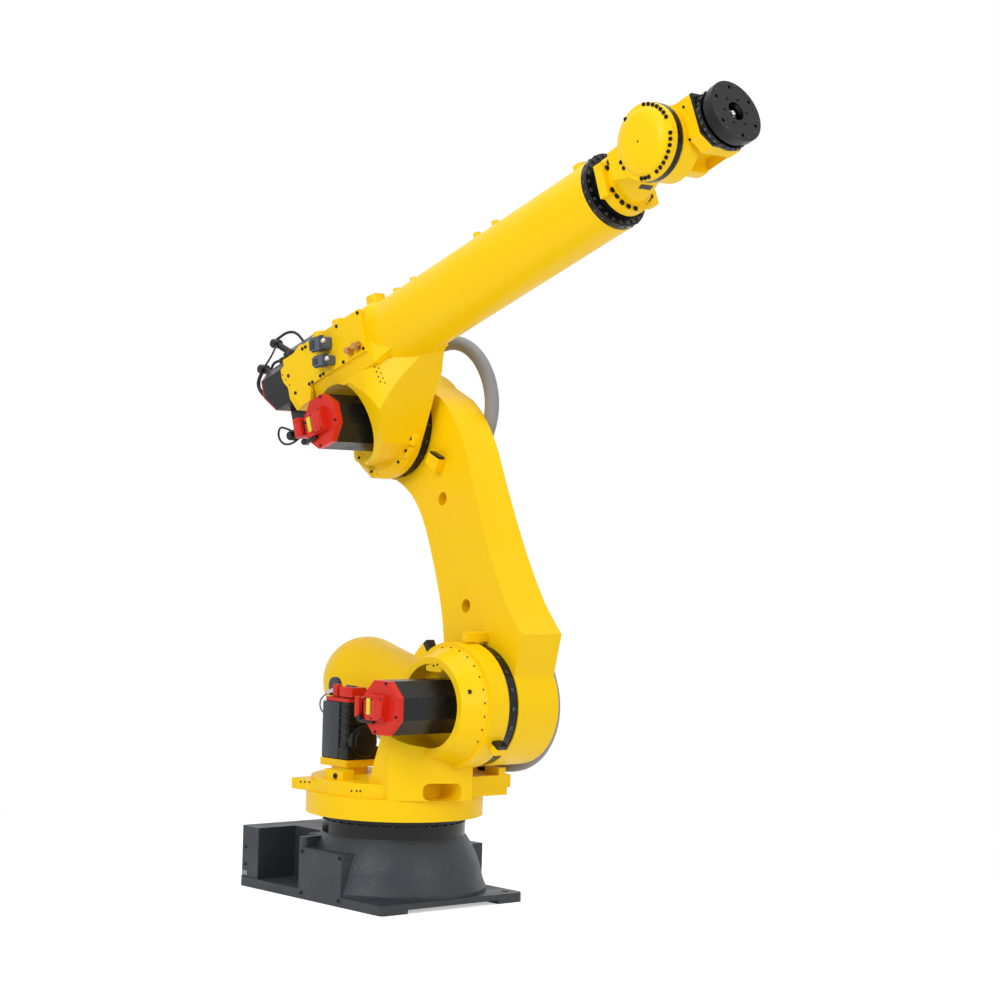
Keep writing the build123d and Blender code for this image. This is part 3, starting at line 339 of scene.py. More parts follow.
# %% [markdown]
# ## Paint the solid pieces
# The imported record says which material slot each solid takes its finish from. One small table
# turns slots into finishes, so that no piece is painted by hand.

# %% Finish of every solid
finish_of_slot = {
    "yellow_paint": yellow_enamel, "base_grey": base_enamel, "black_paint": black_enamel,
    "motor_black": motor_black, "red_paint": motor_red, "connector_grey": connector_grey,
    "brass_fitting": fitting_brass,
}
for entry in frame["record"]["subparts"]:
    solid_mesh = nodes[entry["node"]].data
    solid_mesh.materials.clear()
    solid_mesh.materials.append(finish_of_slot[entry["material_slot"]])

# %% [markdown]
# ## The arm's own rulers
# Every small part is placed from the axis that it belongs to, as a fitter would measure it: so
# far along, so far up and so far to the left, in millimetres. The axes come from the frame's
# joints. The arm leans back by 30 degrees, the forearm rises by 20 and the hand by 22.5.

# %% Axes of the arm
mm = 0.001
left = Vector((0, 1, 0))
right = -left
upward = Vector((0, 0, 1))
forward = Vector((1, 0, 0))
joints = {joint["name"]: joint for joint in frame["joints"]}
shoulder = Vector(joints["lower_arm_lean"]["pos_m"])
elbow = Vector(joints["forearm_lift"]["pos_m"])
bend = Vector(joints["wrist_bend"]["pos_m"])
arm_along = (elbow - shoulder).normalized()
arm_across = left.cross(arm_along)
fore_along = Vector(joints["wrist_roll"]["axis"]).normalized()
fore_up = fore_along.cross(left)
hand_along = Vector(joints["flange_turn"]["axis"]).normalized()
hand_up = hand_along.cross(left)
tube_rise = (Vector(joints["wrist_roll"]["pos_m"]) - elbow).length / mm
floor_axes = (forward, left, upward)
print("tube axis above the elbow's:", round(tube_rise, 1), "mm")

# %% [markdown]
# Each ruler turns a measure into a point of the shared frame. A wrong measure would leave a
# screw in the air, so `seat` drops a point on the real surface: it follows a ray until that
# meets the solid, which is safer on a curved casting than any sum.

# %% Rulers
def at_elbow(along, up, y):
    """From the elbow's axis, along and across the forearm."""
    return elbow + (along * fore_along + up * fore_up + y * left) * mm


def at_tube(along, side, rise):
    """From the middle of the forearm's tube, level with the elbow."""
    return at_elbow(along, tube_rise + rise, side)


def at_shoulder(x, z, y):
    """From the shoulder's axis, straight ahead and straight up."""
    return shoulder + (x * forward + z * upward + y * left) * mm


def at_arm(across, along, y):
    """From the shoulder's axis, across and along the leaning lower arm."""
    return shoulder + (across * arm_across + along * arm_along + y * left) * mm


def at_bend(along, up, y):
    """From the wrist's bending axis, along and across the forearm."""
    return bend + (along * fore_along + up * fore_up + y * left) * mm


def at_hand(along, up, y):
    """From the wrist's bending axis, along and across the hand."""
    return bend + (along * hand_along + up * hand_up + y * left) * mm


def at_floor(x, y, z):
    """From the place where the swing axis meets the floor."""
    return Vector((x, y, z)) * mm


skins = {}


def seat(node, start, towards):
    """Where something moved from start along towards first meets a solid piece."""
    if node not in skins:
        mesh = nodes[node].data
        skins[node] = BVHTree.FromPolygons([vertex.co for vertex in mesh.vertices],
                                           [tuple(face.vertices) for face in mesh.polygons])
    hit = skins[node].ray_cast(start, towards.normalized())[0]
    return start if hit is None else hit


print("bend axis", [round(value, 3) for value in bend], "m")

# %% [markdown]
# ## Rounded blocks
# Plugs, covers and saddles are moulded or cast, and such pieces have no sharp edge. A cube is
# stretched along any three axes and then bevelled, so that its edges catch the light. Each shape
# below adds to a mesh in progress: a whole connector becomes one piece.

# %% A block with rounded edges
def add_block(shape, centre, axes, size, rounding):
    """A block of a size in millimetres along three axes, with rounded edges."""
    made = bmesh.ops.create_cube(shape, size=1.0)["verts"]
    matrix = Matrix([axis * length * mm for axis, length in zip(axes, size)]).transposed()
    for vertex in made:
        vertex.co = centre + matrix @ vertex.co
    edges = {edge for vertex in made for edge in vertex.link_edges}
    bmesh.ops.bevel(shape, geom=list(edges), offset=rounding * mm, segments=2, profile=0.5,
                    affect="EDGES")


# %% [markdown]
# ## Turned pieces and tubes
# A gland, a knob and a cable are all circles joined by a skin. For a turned piece the circles
# share one axis and change in radius, and for a tube they keep their radius and follow a path.
# On a path, each circle takes its first direction from the one before, so the tube never twists.

# %% Skins over circles
def across_axes(axis):
    """Two directions square to an axis and to each other."""
    guide = upward if abs(axis.z) < 0.9 else forward
    first = axis.cross(guide).normalized()
    return first, axis.cross(first).normalized()


def add_skin(shape, circles, sides):
    """A closed skin over circles, each a middle, two square directions and a radius in mm."""
    turns = [2 * pi * k / sides for k in range(sides)]
    rings = [[shape.verts.new(middle + (first * cos(angle) + second * sin(angle)) * radius * mm)
              for angle in turns] for middle, first, second, radius in circles]
    for low, high in zip(rings, rings[1:]):
        for k in range(sides):
            shape.faces.new((low[k - 1], low[k], high[k], high[k - 1]))
    shape.faces.new(list(reversed(rings[0])))
    shape.faces.new(rings[-1])


def add_turned(shape, foot, axis, outline, sides=28):
    """A spun shape: outline is a list of (radius, height) in millimetres, from the foot up."""
    axis = axis.normalized()
    first, second = across_axes(axis)
    add_skin(shape, [(foot + axis * height * mm, first, second, radius)
                     for radius, height in outline], sides)


def add_tube(shape, path, radius, sides):
    """A round tube along a path, closed at both ends."""
    circles = []
    first = across_axes((path[1] - path[0]).normalized())[0]
    for index, point in enumerate(path):
        before, after = path[max(index - 1, 0)], path[min(index + 1, len(path) - 1)]
        ahead = (after - before).normalized()
        first = (first - first.dot(ahead) * ahead).normalized()
        circles.append((point, first, ahead.cross(first), radius))
    add_skin(shape, circles, sides)


# %% [markdown]
# ## From a mesh to a piece
# A finished mesh has its normals turned outward and its corners kept crisp: an edge is smooth
# only where its two faces nearly agree. Its object stays at the origin, because the place is in
# the mesh, and it rides on the group that it moves with.

# %% Place a piece
smooth_angle = radians(35)


def place_piece(name, shape, material, body=None):
    """Turn a finished mesh into a piece that rides on a moving group."""
    bmesh.ops.recalc_face_normals(shape, faces=shape.faces)
    for face in shape.faces:
        face.smooth = True
    for edge in shape.edges:
        edge.smooth = len(edge.link_faces) == 2 and edge.calc_face_angle() < smooth_angle
    mesh = bpy.data.meshes.new(name)
    shape.to_mesh(mesh)
    shape.free()
    mesh.materials.append(material)
    made = bpy.data.objects.new(name, mesh)
    scene.collection.objects.link(made)
    if body:
        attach(made, body)
    print(name, len(mesh.polygons), "faces")
    return made


# %% [markdown]
# ## The line of a hose
# A hose never turns a corner: it bends evenly from end to end. Straight runs joined by arcs would
# look like bent wire, so a NURBS line is drawn towards each point of the route instead, and its
# drawn points are read back for the tube.

# %% A smooth line through a route
def smooth_path(points):
    """The points of a smooth line that is drawn towards each of its control points in turn."""
    curve = bpy.data.curves.new("route", "CURVE")
    curve.dimensions = "3D"
    spline = curve.splines.new("NURBS")
    spline.points.add(len(points) - 1)
    for control, point in zip(spline.points, points):
        control.co = (*point, 1)
    spline.order_u = 3
    spline.use_endpoint_u = True
    spline.resolution_u = 10
    line = bpy.data.objects.new("route", curve)
    scene.collection.objects.link(line)
    bpy.context.view_layer.update()
    evaluated = line.evaluated_get(bpy.context.evaluated_depsgraph_get())
    drawn = bpy.data.meshes.new_from_object(evaluated)
    path = [Vector(vertex.co) for vertex in drawn.vertices]
    bpy.data.objects.remove(line)
    bpy.data.curves.remove(curve)
    bpy.data.meshes.remove(drawn)
    return path


def length_of(path):
    """The length of a path in metres, to the millimetre."""
    return round(sum((after - before).length for before, after in zip(path, path[1:])), 3)


# %% [markdown]
# ## The grey hose
# One smooth grey hose brings the power up from a bracket on the turret, along the far side of the
# lower arm, and over to the forearm in a wide loop that leaves room for the elbow to fold. A hose
# of 50 mm can't bend tighter than about four diameters, which sets the size of the loop. It is
# made in three lengths: the two that cross a joint ride on no group, and the one between rides on
# the arm. The points of each route are listed.

# %% Hose
hose_radius = 25
hose_sides = 24


def hose(name, points, body=None, joint=None):
    """One length of the hose, riding on a body, or on none where it crosses a joint."""
    path = smooth_path(points)
    shape = bmesh.new()
    add_tube(shape, path, hose_radius, hose_sides)
    piece = place_piece(name, shape, hose_grey, body)
    if joint:
        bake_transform(piece)
    print(name, "length", length_of(path), "m")


gland_sunk = 4
exit_along, exit_up, beyond_casting = -78, 260, 400
hose_exit = seat("forearm_casting", at_elbow(exit_along, exit_up, beyond_casting), right)
exit_depth = (hose_exit - elbow).dot(left) / mm
loop_route = [(exit_along, exit_up, exit_depth - gland_sunk), (-63, 260, 171.2),
              (-17.7, 260, 239.7), (50.8, 260, 285), (128, 260, 300), (205.2, 245, 300),
              (273.7, 199.7, 300), (319, 131.2, 303), (334, 54, 309), (319, -23.2, 317),
              (273.7, -91.7, 325)]
loop_foot = [(142, 868, 328), (140, 735, 328)]
hose("hose_loop", [at_elbow(*p) for p in loop_route] + [at_arm(*p) for p in loop_foot],
     joint=("forearm", "lower_arm"))

run_route = [(140, 735, 328), (140, 660, 326), (141, 480, 314), (143, 330, 304), (150, 210, 296),
             (156, 130, 293)]
hose("hose_run", [at_arm(*p) for p in run_route], body="lower_arm")

foot_head = [(156, 130, 293), (154, 76, 293), (152, 20, 293)]
foot_route = [(146.1, 26.1, 293), (146.1, -45.5, 293), (121.6, -112.7, 293),
              (75.6, -167.5, 293), (13.7, -203.3, 290), (-56.8, -215.7, 280),
              (-140.8, -218.7, 260)]
foot_end = at_shoulder(*foot_route[-1])
hose("hose_foot", [at_arm(*p) for p in foot_head] + [at_shoulder(*p) for p in foot_route],
     joint=("lower_arm", "turret"))
print("hose leaves the forearm", round(exit_depth, 1), "mm to the left of the middle")

# %% [markdown]
# ## What holds the hose
# A gland grips the hose where it enters a casting: a turned collar, a wider nut and a sleeve. On
# the arm it lies in saddles, each a block with a band round the hose. All are black mouldings,
# and only the bracket on the turret is painted with the casting.

# %% Glands of the hose
gland = bmesh.new()
add_turned(gland, hose_exit - gland_sunk * mm * left, left,
           [(38, 0), (38, 14), (33, 16), (33, 30), (30, 34), (28, 52)])
place_piece("hose_gland_forearm", gland, motor_black, "forearm")
sleeve_reach = 16
gland = bmesh.new()
add_turned(gland, foot_end - forward * sleeve_reach * mm, forward,
           [(34, 0), (34, 12), (30, 14), (30, 26), (28, 34)])
place_piece("hose_gland_turret", gland, motor_black, "turret")
bracket = bmesh.new()
add_block(bracket, foot_end + at_floor(-46, 2, -16), floor_axes, (66, 70, 96), 5)
place_piece("hose_bracket_turret", bracket, yellow_enamel, "turret")

# %% Saddles of the hose
saddle_length = 34
saddles = bmesh.new()
for across, along, depth in ((140, 735, 328), (141, 480, 314), (150, 210, 296)):
    add_block(saddles, at_arm(across, along, depth - 16), (arm_across, arm_along, left),
              (66, saddle_length, 44), 4)
    add_turned(saddles, at_arm(across, along - saddle_length / 2, depth - 1), arm_along,
               [(31, 0), (31, saddle_length)])
place_piece("hose_saddles", saddles, motor_black, "lower_arm")

# %% [markdown]
# ## Seats for screws
# About three hundred screws hold the arm together. They are all alike but for their size and
# metal, so they are only noted here, and one pattern makes them all at the end. A note holds the
# moving group, the place, the way the head faces and its radius. A head has a flat foot, so on a
# round rim it is sunk a little.

# %% Notes for the screw pattern
screws = {}
rim_sunk = 0.4


def add_screw(body, place, facing, radius, metal=dark_screw):
    """Note one screw: its group, its seat, the way it faces, its head's radius and its metal."""
    found = screws.setdefault((body, metal.name), [])
    found.append((Vector(place), Vector(facing).normalized(), radius))


def add_screw_ring(body, middle, axes, circle, count, radius, metal=dark_screw, facing=None,
                   first=0.0):
    """Note screws evenly round a circle; they face outward if nothing else is said."""
    for k in range(count):
        angle = 2 * pi * (k + first) / count
        outward = cos(angle) * axes[0] + sin(angle) * axes[1]
        add_screw(body, middle + outward * circle * mm, outward if facing is None else facing,
                  radius, metal)


# %% [markdown]
# ## Trim of the two big motors
# The servo motors of the shoulder and the elbow end in a red cap with a raised terminal cover, a
# plain yellow tag and a red plug box at one side. The cap's four screws stand slightly turned
# from upright, as the motors are mounted. One function dresses both, each by its own ruler and
# from the face of its own cap.

# %% Trim of the shoulder and elbow motors
cap_step = 18
cap_screw_circle = 83
cap_screw_angles = (73, -17, -107, 163)
cover_screws = ((30, 30), (30, -34), (-16, 26), (-16, -34))


def dress_big_motor(motor, at, first, second, body, box_side, box_level, box_width):
    """Cover, tag, plug box and screws on the cap of a big motor."""
    axes = (first, second, right)
    cap_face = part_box(motor + "_cap")[0][1] / mm + cap_step
    red = bmesh.new()
    add_block(red, at(6, -4, cap_face - 21), axes, (58, 68, 8), 3)
    add_block(red, at(26, 2, cap_face - 24), axes, (22, 40, 8), 3)
    add_block(red, at(box_side, box_level, cap_face + 12), axes, (box_width, 64, 44), 3)
    add_block(red, at(box_side, box_level + 28, cap_face - 4), axes, (box_width - 8, 14, 16), 2)
    place_piece(motor + "_trim_cover", red, motor_red, body)
    black = bmesh.new()
    add_block(black, at(box_side + box_width / 2 + 5, box_level, cap_face + 16), axes,
              (14, 44, 26), 3)
    add_block(black, at(-60, -46, cap_face - 6), axes, (70, 14, 14), 4)
    add_turned(black, at(-97, -40, cap_face + 8), right, [(11, 0), (11, 20), (8, 24)])
    place_piece(motor + "_trim_plugs", black, motor_black, body)
    tag = bmesh.new()
    add_block(tag, at(-40, 2, cap_face - 18.8), axes, (18, 52, 2.4), 0.8)
    place_piece(motor + "_trim_tag", tag, label_yellow, body)
    for angle in map(radians, cap_screw_angles):
        add_screw(body, at(cap_screw_circle * cos(angle), cap_screw_circle * sin(angle), cap_face),
                  right, 5)
    for across, level in cover_screws:
        add_screw(body, at(across, level, cap_face - 25), right, 3)


dress_big_motor("elbow_motor", at_elbow, fore_along, fore_up, "forearm", -119, 18, 40)
dress_big_motor("shoulder_motor", at_shoulder, forward, upward, "turret", -112, -6, 24)

# %% [markdown]
# ## Swing motor
# The upright motor behind the shoulder has a grey side panel, a finned black body and a red top
# with an angled plug. All of it is measured from the motor's own box in the frame. Fins are thin
# blocks that stand a few millimetres proud of the body, with a round cover between them.

# %% Panel and fins of the swing motor
swing_low, swing_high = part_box("swing_motor")
swing_back, swing_near, swing_foot = (value / mm for value in swing_low)
swing_front, swing_far, swing_top = (value / mm for value in swing_high)
swing_middle = (swing_near + swing_far) / 2
swing_height = swing_top - swing_foot
swing_waist = swing_foot + swing_height / 2
fin_levels = (50, 58, 82, 106, 119, 143, 156, 180)

panel = bmesh.new()
add_block(panel, at_floor(swing_back + 43, swing_near - 2, swing_waist), floor_axes,
          (90, 8, swing_height - 4), 2)
add_block(panel, at_floor(swing_back - 2, swing_middle, swing_waist - 4), floor_axes,
          (8, 116, swing_height - 26), 2)
place_piece("swing_motor_panel", panel, panel_grey, "turret")

fins = bmesh.new()
for level in fin_levels:
    add_block(fins, at_floor(swing_front, swing_middle, swing_foot + level), floor_axes,
              (8, 116, 4), 1)
    add_block(fins, at_floor(swing_front - 19, swing_near, swing_foot + level), floor_axes,
              (36, 8, 4), 1)
add_block(fins, at_floor(swing_front - 30, swing_middle, swing_foot + 22), floor_axes,
          (78, 138, 42), 3)
add_turned(fins, at_floor(swing_front + 2, swing_middle - 6, swing_foot + 62), forward,
           [(56, 0), (56, 16), (50, 20), (44, 20), (42, 26)], 40)
place_piece("swing_motor_fins", fins, motor_black, "turret")

# %% [markdown]
# On top of that motor sits an angled red plug in three blocks, and at its near side hang a round
# grey knob and a small bright plug, turned a little out of line as the cables pull them.

# %% Plug and knob of the swing motor
red_plug = bmesh.new()
add_block(red_plug, at_floor(swing_back + 110, swing_near + 34, swing_top + 34), floor_axes,
          (72, 62, 34), 3)
add_block(red_plug, at_floor(swing_back + 52, swing_near + 14, swing_top + 38), floor_axes,
          (26, 24, 38), 3)
add_block(red_plug, at_floor(swing_back + 24, swing_near + 60, swing_top + 20), floor_axes,
          (40, 60, 18), 3)
place_piece("swing_motor_top_plug", red_plug, motor_red, "turret")
knob = bmesh.new()
add_turned(knob, at_floor(-238, -92, 696), Vector((0.1, 1, 0)),
           [(30, 0), (31, 3), (31, 15), (28, 18)])
add_turned(knob, at_floor(-214, -110, 676), Vector((-0.4, -1, -0.1)), [(10, 0), (10, 12)])
add_block(knob, at_floor(-100, swing_near + 12, swing_top + 56), floor_axes, (52, 8, 5), 1.5)
place_piece("swing_motor_knob", knob, panel_grey, "turret")
bright_plug = bmesh.new()
add_turned(bright_plug, at_floor(-205, -112, 683), Vector((-0.9, -0.5, -0.35)),
           [(9, 0), (9, 22), (6, 24), (6, 30)])
place_piece("swing_motor_plug", bright_plug, bright_steel, "turret")

# %% [markdown]
# ## Plugs of the wrist motors
# Each of the three wrist motors has a plug that turns the cable through a right angle, and a
# larger one beside it. Both are turned pieces: a collar, then the plug's body, pointed from its
# socket on the motor to the place where the cable leaves.

# %% Angled plugs of the wrist motors
cable_ends = ((-420, -52, 110), (-414, 22, 212), (-400, 8, -150))
plug_bodies = (((-372, -58, 66), (-420, -58, 110), 12), ((-372, 42, 160), (-414, 16, 212), 12),
               ((-372, 12, -126), (-400, 2, -150), 12), ((-372, -20, 60), (-388, -20, 74), 15),
               ((-372, 70, 160), (-390, 70, 174), 15), ((-372, 36, -140), (-392, 36, -150), 14))
tie_blocks = ((-207, -92, 84), (-240, -84, 92), (-300, -60, 96))

plugs = bmesh.new()
for along, side, rise in cable_ends:
    add_turned(plugs, at_tube(along, side, rise), right,
               [(12, -14), (16, -10), (17, 0), (17, 22), (14, 27)])
for socket_place, cable_place, radius in plug_bodies:
    socket_point = at_tube(*socket_place)
    axis = at_tube(*cable_place) - socket_point
    add_turned(plugs, socket_point, axis,
               [(radius + 2, 0), (radius + 2, 12), (radius, 14), (radius, axis.length / mm)])
for along, side, rise in tie_blocks:
    add_block(plugs, at_tube(along, side, rise), (fore_along, left, fore_up), (26, 22, 22), 4)
place_piece("wrist_motor_plugs", plugs, motor_black, "forearm")

# %% [markdown]
# ## Cables
# The motor cables are black or grey, 5 to 14 mm through, and short: each leaves its angled plug,
# makes one easy bend and goes back into the machine. They are smooth lines as the hose is, but
# limp, so their bends may be tighter.

# %% A helper for cables
cable_sides = 12


def cable(name, points, radius, body, material):
    """A short cable that rides on one body."""
    path = smooth_path(points)
    shape = bmesh.new()
    add_tube(shape, path, radius, cable_sides)
    piece = place_piece(name, shape, material, body)
    print(name, "length", length_of(path), "m")


# %% [markdown]
# The wrist motors' five cables are measured from the axis of the forearm's tube: so far along it,
# so far to the left and so far above. The two thin ones beside the swing motor are measured from
# the floor.

# %% Cables of the wrist motors and the swing motor
wrist_routes = (
    (7, [(-424, -64, 100), (-452, -66, 84), (-462, -66, 52), (-440, -58, 10), (-404, -50, -30),
         (-368, -46, -36)]),
    (3.5, [(-412, -60, 116), (-380, -50, 140), (-372, -30, 172), (-396, 0, 200),
           (-412, 14, 206)]),
    (5, [(-386, -60, 84), (-360, -66, 100), (-330, -70, 104), (-300, -62, 98)]),
    (5, [(-412, 10, 222), (-400, 26, 234), (-372, 44, 244), (-344, 62, 232), (-322, 74, 176),
         (-318, 76, 160)]),
    (4, [(-392, -4, -136), (-424, -8, -112), (-456, -8, -96), (-478, -6, -124), (-466, 0, -158),
         (-430, 6, -172), (-384, 10, -168), (-340, 14, -158)]),
)
for number, (radius, route) in enumerate(wrist_routes, start=1):
    cable("wrist_cable_" + str(number), [at_tube(*point) for point in route], radius, "forearm",
          motor_black)

swing_routes = (
    [(-226, -124, 674), (-250, -132, 658), (-258, -134, 634), (-250, -132, 610),
     (-232, -118, 592)],
    [(-232, -112, 588), (-244, -122, 570), (-246, -124, 548), (-238, -118, 530),
     (-228, -110, 520)],
)
for number, route in enumerate(swing_routes, start=1):
    cable("swing_cable_" + str(number), [at_floor(*point) for point in route], 2.5, "turret",
          connector_grey)

# %% [markdown]
# ## Connector panel
# Two moulded connectors sit on the yellow plate at a slant. A latch lever lies over each: a bar
# at its rear end, two arms along its sides and a grip in the middle, with a round pivot at the
# front. They are set on the connector's own face, which the frame gives.

# %% Latches on the two connectors
slant = radians(-13)
along_plug = fore_along * cos(slant) + fore_up * sin(slant)
across_plug = -fore_along * sin(slant) + fore_up * cos(slant)
plug_axes = (along_plug, across_plug, right)
plug_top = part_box("connector_plug_1")[0][1] / mm
connectors = ((54, 262, 78, 44), (54, 200, 80, 34))

latch = bmesh.new()
for along, up, length, width in connectors:
    middle = at_elbow(along, up, plug_top)
    add_block(latch, middle + (along_plug * 28 + right) * mm, plug_axes, (14, width + 8, 9), 3)
    for side in (-1, 1):
        add_block(latch, middle + (across_plug * side * (width / 2 + 2) + left * 8) * mm,
                  plug_axes, (length - 12, 4, 10), 1.5)
    add_block(latch, middle - along_plug * 22 * mm, plug_axes, (26, width - 14, 6), 2)
place_piece("connector_latches", latch, panel_grey, "forearm")
pivots = bmesh.new()
for along, up in ((92, 258), (94, 192)):
    add_turned(pivots, at_elbow(along, up, plug_top + 6), right,
               [(9, 0), (9, 7), (7, 10), (3, 12)])
place_piece("connector_pivots", pivots, bright_steel, "forearm")
edge_plate = bmesh.new()
add_block(edge_plate, at_elbow(24, 291, plug_top + 32), plug_axes, (40, 10, 10), 2)
place_piece("connector_edge_plate", edge_plate, hose_grey, "forearm")

# %% [markdown]
# ## Thin red edge of the wrist motors
# Seen from the side, the wrist motors' caps are dark, and only their back plate is red. The cap
# is one solid, so it can't have two materials without being cut. Instead, the finish reads how
# far back along the forearm a point of the cap lies, and turns red behind that line.

# %% Two-coloured motor cap
red_from = at_tube(-366, 0, 0).dot(fore_along)
cap_finish = finish("wrist_motor_cap", (0.010, 0.011, 0.014), (0.016, 0.017, 0.021), 0.34,
                    200, 0.0004, specular=0.3)
cap_tree = cap_finish.node_tree
cap_place = cap_tree.nodes.new("ShaderNodeTexCoord")
cap_along = cap_tree.nodes.new("ShaderNodeVectorMath")
cap_along.operation = "DOT_PRODUCT"
cap_along.inputs[1].default_value = fore_along
cap_tree.links.new(cap_place.outputs["Object"], cap_along.inputs[0])
cap_colour = cap_tree.nodes.new("ShaderNodeMix")
cap_colour.data_type = "RGBA"
cap_colour.inputs[mix_second].default_value = (*cap_red, 1)
cap_tree.links.new(math_node(cap_tree, "LESS_THAN", cap_along.outputs["Value"], red_from),
                   cap_colour.inputs[0])
cap_tree.links.new(cap_tree.nodes["colour"].outputs[mix_result], cap_colour.inputs[mix_first])
cap_shader = cap_tree.nodes["Principled BSDF"]
cap_tree.links.new(cap_colour.outputs[mix_result], cap_shader.inputs["Base Color"])
for number in (1, 2, 3):
    cap_mesh = nodes["wrist_motor_cap_" + str(number)].data
    cap_mesh.materials.clear()
    cap_mesh.materials.append(cap_finish)
print("caps turn red", round(red_from, 3), "m along the forearm")

# %% [markdown]
# ## Screws of the forearm
# The connector plate is held by a row of screws round its edge, and the casting by small ones
# in its neck. Three larger plugs close the tube's top. Screws on a curved face are dropped on it
# along one direction, so that each stands on the real surface.

# %% Screws of the connector plate, the neck and the tube
plate_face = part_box("connector_plate")[0][1] / mm
plate_screws = ((253, 298), (132, 298), (248, 171), (132, 167), (-2, 169), (16, 169), (-69, 165),
                (-51, 165), (-70, 296), (-52, 296), (-153, 164), (-174, 236))
slot_screws = ((-205, 252), (-194, 229), (-177, 203))
neck_facing = Vector((0.36, -0.93, 0.08))
before_neck = -300
above_tube = 300

for along, up in plate_screws:
    add_screw("forearm", at_elbow(along, up, plate_face), right, 6)
for along, up in slot_screws:
    add_screw("forearm", at_elbow(along, up, plate_face), right, 2.6)
for step in range(4):
    for along, up, radius in ((228, 115, 2.8), (241, 106, 2.4)):
        start = at_elbow(along + 3 * step, up - 19 * step, before_neck)
        add_screw("forearm", seat("forearm_casting", start, left), neck_facing, radius)
for along, radius in ((-122, 9), (-5, 9), (210, 14)):
    start = at_tube(along, -20, above_tube)
    add_screw("forearm", seat("forearm_casting", start, -fore_up), fore_up, radius)
print("screws so far:", sum(map(len, screws.values())))

# %% [markdown]
# ## Screws of the wrist
# The black ring at the tube's end has one circle of screws in its face and one round its rim.
# Behind it the wrist's foot is bolted on by two mirrored rows, and the cover of the bending axis
# by an arc of screws with gaps, as in the photograph.

# %% Screws of the roll ring, the wrist's foot and the bend cover
ring_screws = 24
roll_axes = (left, fore_up)
ring_face, rim_middle, foot_face = 1390.3, 1378, 1448.3
face_circle, ring_radius = 111.5, 123
foot_screws = ((-82, -37), (-68, -56), (-52, -76), (-27, -86), (2, -89), (52, -60), (70, -50),
               (84, -38))
bend_cover_circle = 110
bend_cover_angles = (93, 83, 73, 63.5, 54, 45, 35.5, 8, -1.5, -11, -21, -30.5, -40, -49.5, -59,
                     -77, -85, -93, -139, -150.5, 138)
before_wrist = -300

add_screw_ring("forearm", at_tube(ring_face, 0, 0), roll_axes, face_circle, ring_screws, 6,
               oiled_steel, fore_along, first=0.5)
add_screw_ring("forearm", at_tube(rim_middle, 0, 0), roll_axes, ring_radius - rim_sunk,
               ring_screws, 4.5, oiled_steel, first=0.5)
for side, rise in foot_screws:
    for mirror in (-1, 1):
        add_screw("wrist", at_tube(foot_face, side, mirror * rise), fore_along, 8.5)
for angle in map(radians, bend_cover_angles):
    outward = cos(angle) * forward + sin(angle) * upward
    start = bend + (outward * bend_cover_circle + left * before_wrist) * mm
    add_screw("wrist", seat("bend_cover", start, left), right, 6.6)
add_screw("wrist", seat("bend_cover", at_bend(-1, -3, before_wrist), left), right, 3)
print("screws so far:", sum(map(len, screws.values())))

# %% [markdown]
# ## Screws of the hand and the tool flange
# The hand's own cover has two screws at its side and four at its end. The reducer carries a
# circle of screws round its rim, and the flange has an outer and an inner circle in its face.

# %% Screws of the hand and the tool flange
hand_axes = (left, hand_up)
hand_side, hand_end, flange_face = -93, 164.3, 232
reducer_middle, reducer_circle = 173.5, 96.8
outer_circle, inner_circle = 89, 46

for along, up in ((122, 59), (112, -44)):
    add_screw("hand", at_hand(along, up, hand_side), right, 4.5)
for side in (-80, 80):
    for up in (70, -38):
        add_screw("hand", at_hand(hand_end, up, side), hand_along, 6)
add_screw_ring("hand", at_hand(reducer_middle, 0, 0), hand_axes, reducer_circle, 28, 5,
               oiled_steel)
flange_middle = at_hand(flange_face, 0, 0)
add_screw_ring("tool_flange", flange_middle, hand_axes, outer_circle, 12, 3.4, oiled_steel,
               hand_along, first=0.5)
add_screw_ring("tool_flange", flange_middle, hand_axes, inner_circle, 6, 4.2,
               facing=hand_along)
print("screws so far:", sum(map(len, screws.values())))

# %% [markdown]
# ## Screws of the turret
# An arc of small screws follows the rim of the turret's round shoulder, and short rows stand on
# its faces and round the swing motor. Their heads are dropped on the casting from the arm's
# right, and the motor's from above.

# %% Screws of the turret
rim_circle = 189.5
rim_start, rim_step = 86.5, 13.33
edge_angle = radians(19.5)
edge_circle = 172
edge_facing = Vector((0.35, -0.93, 0.1))
window_screws = ((-20, 136), (10, 132), (34, 138))
deck_screws = ((-164, 383), (-141, 385), (-115, 387), (101, 379), (119, 380), (131, 381))
before_window, before_shoulder, before_turret, above_motor = -300, -400, -500, 900

for k in range(-1, 10):
    angle = radians(rim_start - rim_step * k)
    start = at_shoulder(rim_circle * cos(angle), rim_circle * sin(angle), before_shoulder)
    add_screw("turret", seat("turret_casting", start, left), right, 3.6)
start = at_shoulder(edge_circle * cos(edge_angle), edge_circle * sin(edge_angle), before_shoulder)
add_screw("turret", seat("turret_casting", start, left), edge_facing, 7.5)
for x, z in window_screws:
    start = at_shoulder(x, z, before_window)
    add_screw("turret", seat("turret_casting", start, left), right, 3.5)
for x, z in deck_screws:
    start = at_floor(x, before_turret, z)
    add_screw("turret", seat("turret_casting", start, left), right, 3.4)
add_screw("turret", seat("turret_casting", at_floor(8, before_turret, 419), left), right, 9)
for x in (-227, -103):
    for y in (-130, -6):
        start = at_floor(x, y, above_motor)
        add_screw("turret", seat("swing_motor_plate", start, -upward), upward, 6)
print("screws so far:", sum(map(len, screws.values())))

# %% [markdown]
# ## Screws of the bearing rings and the base
# The shoulder's and the elbow's rings are bolted through their rims, and the slewing ring from
# above. The covers at both sides of the base have a screw in each corner, and the rear box has
# two at each side.

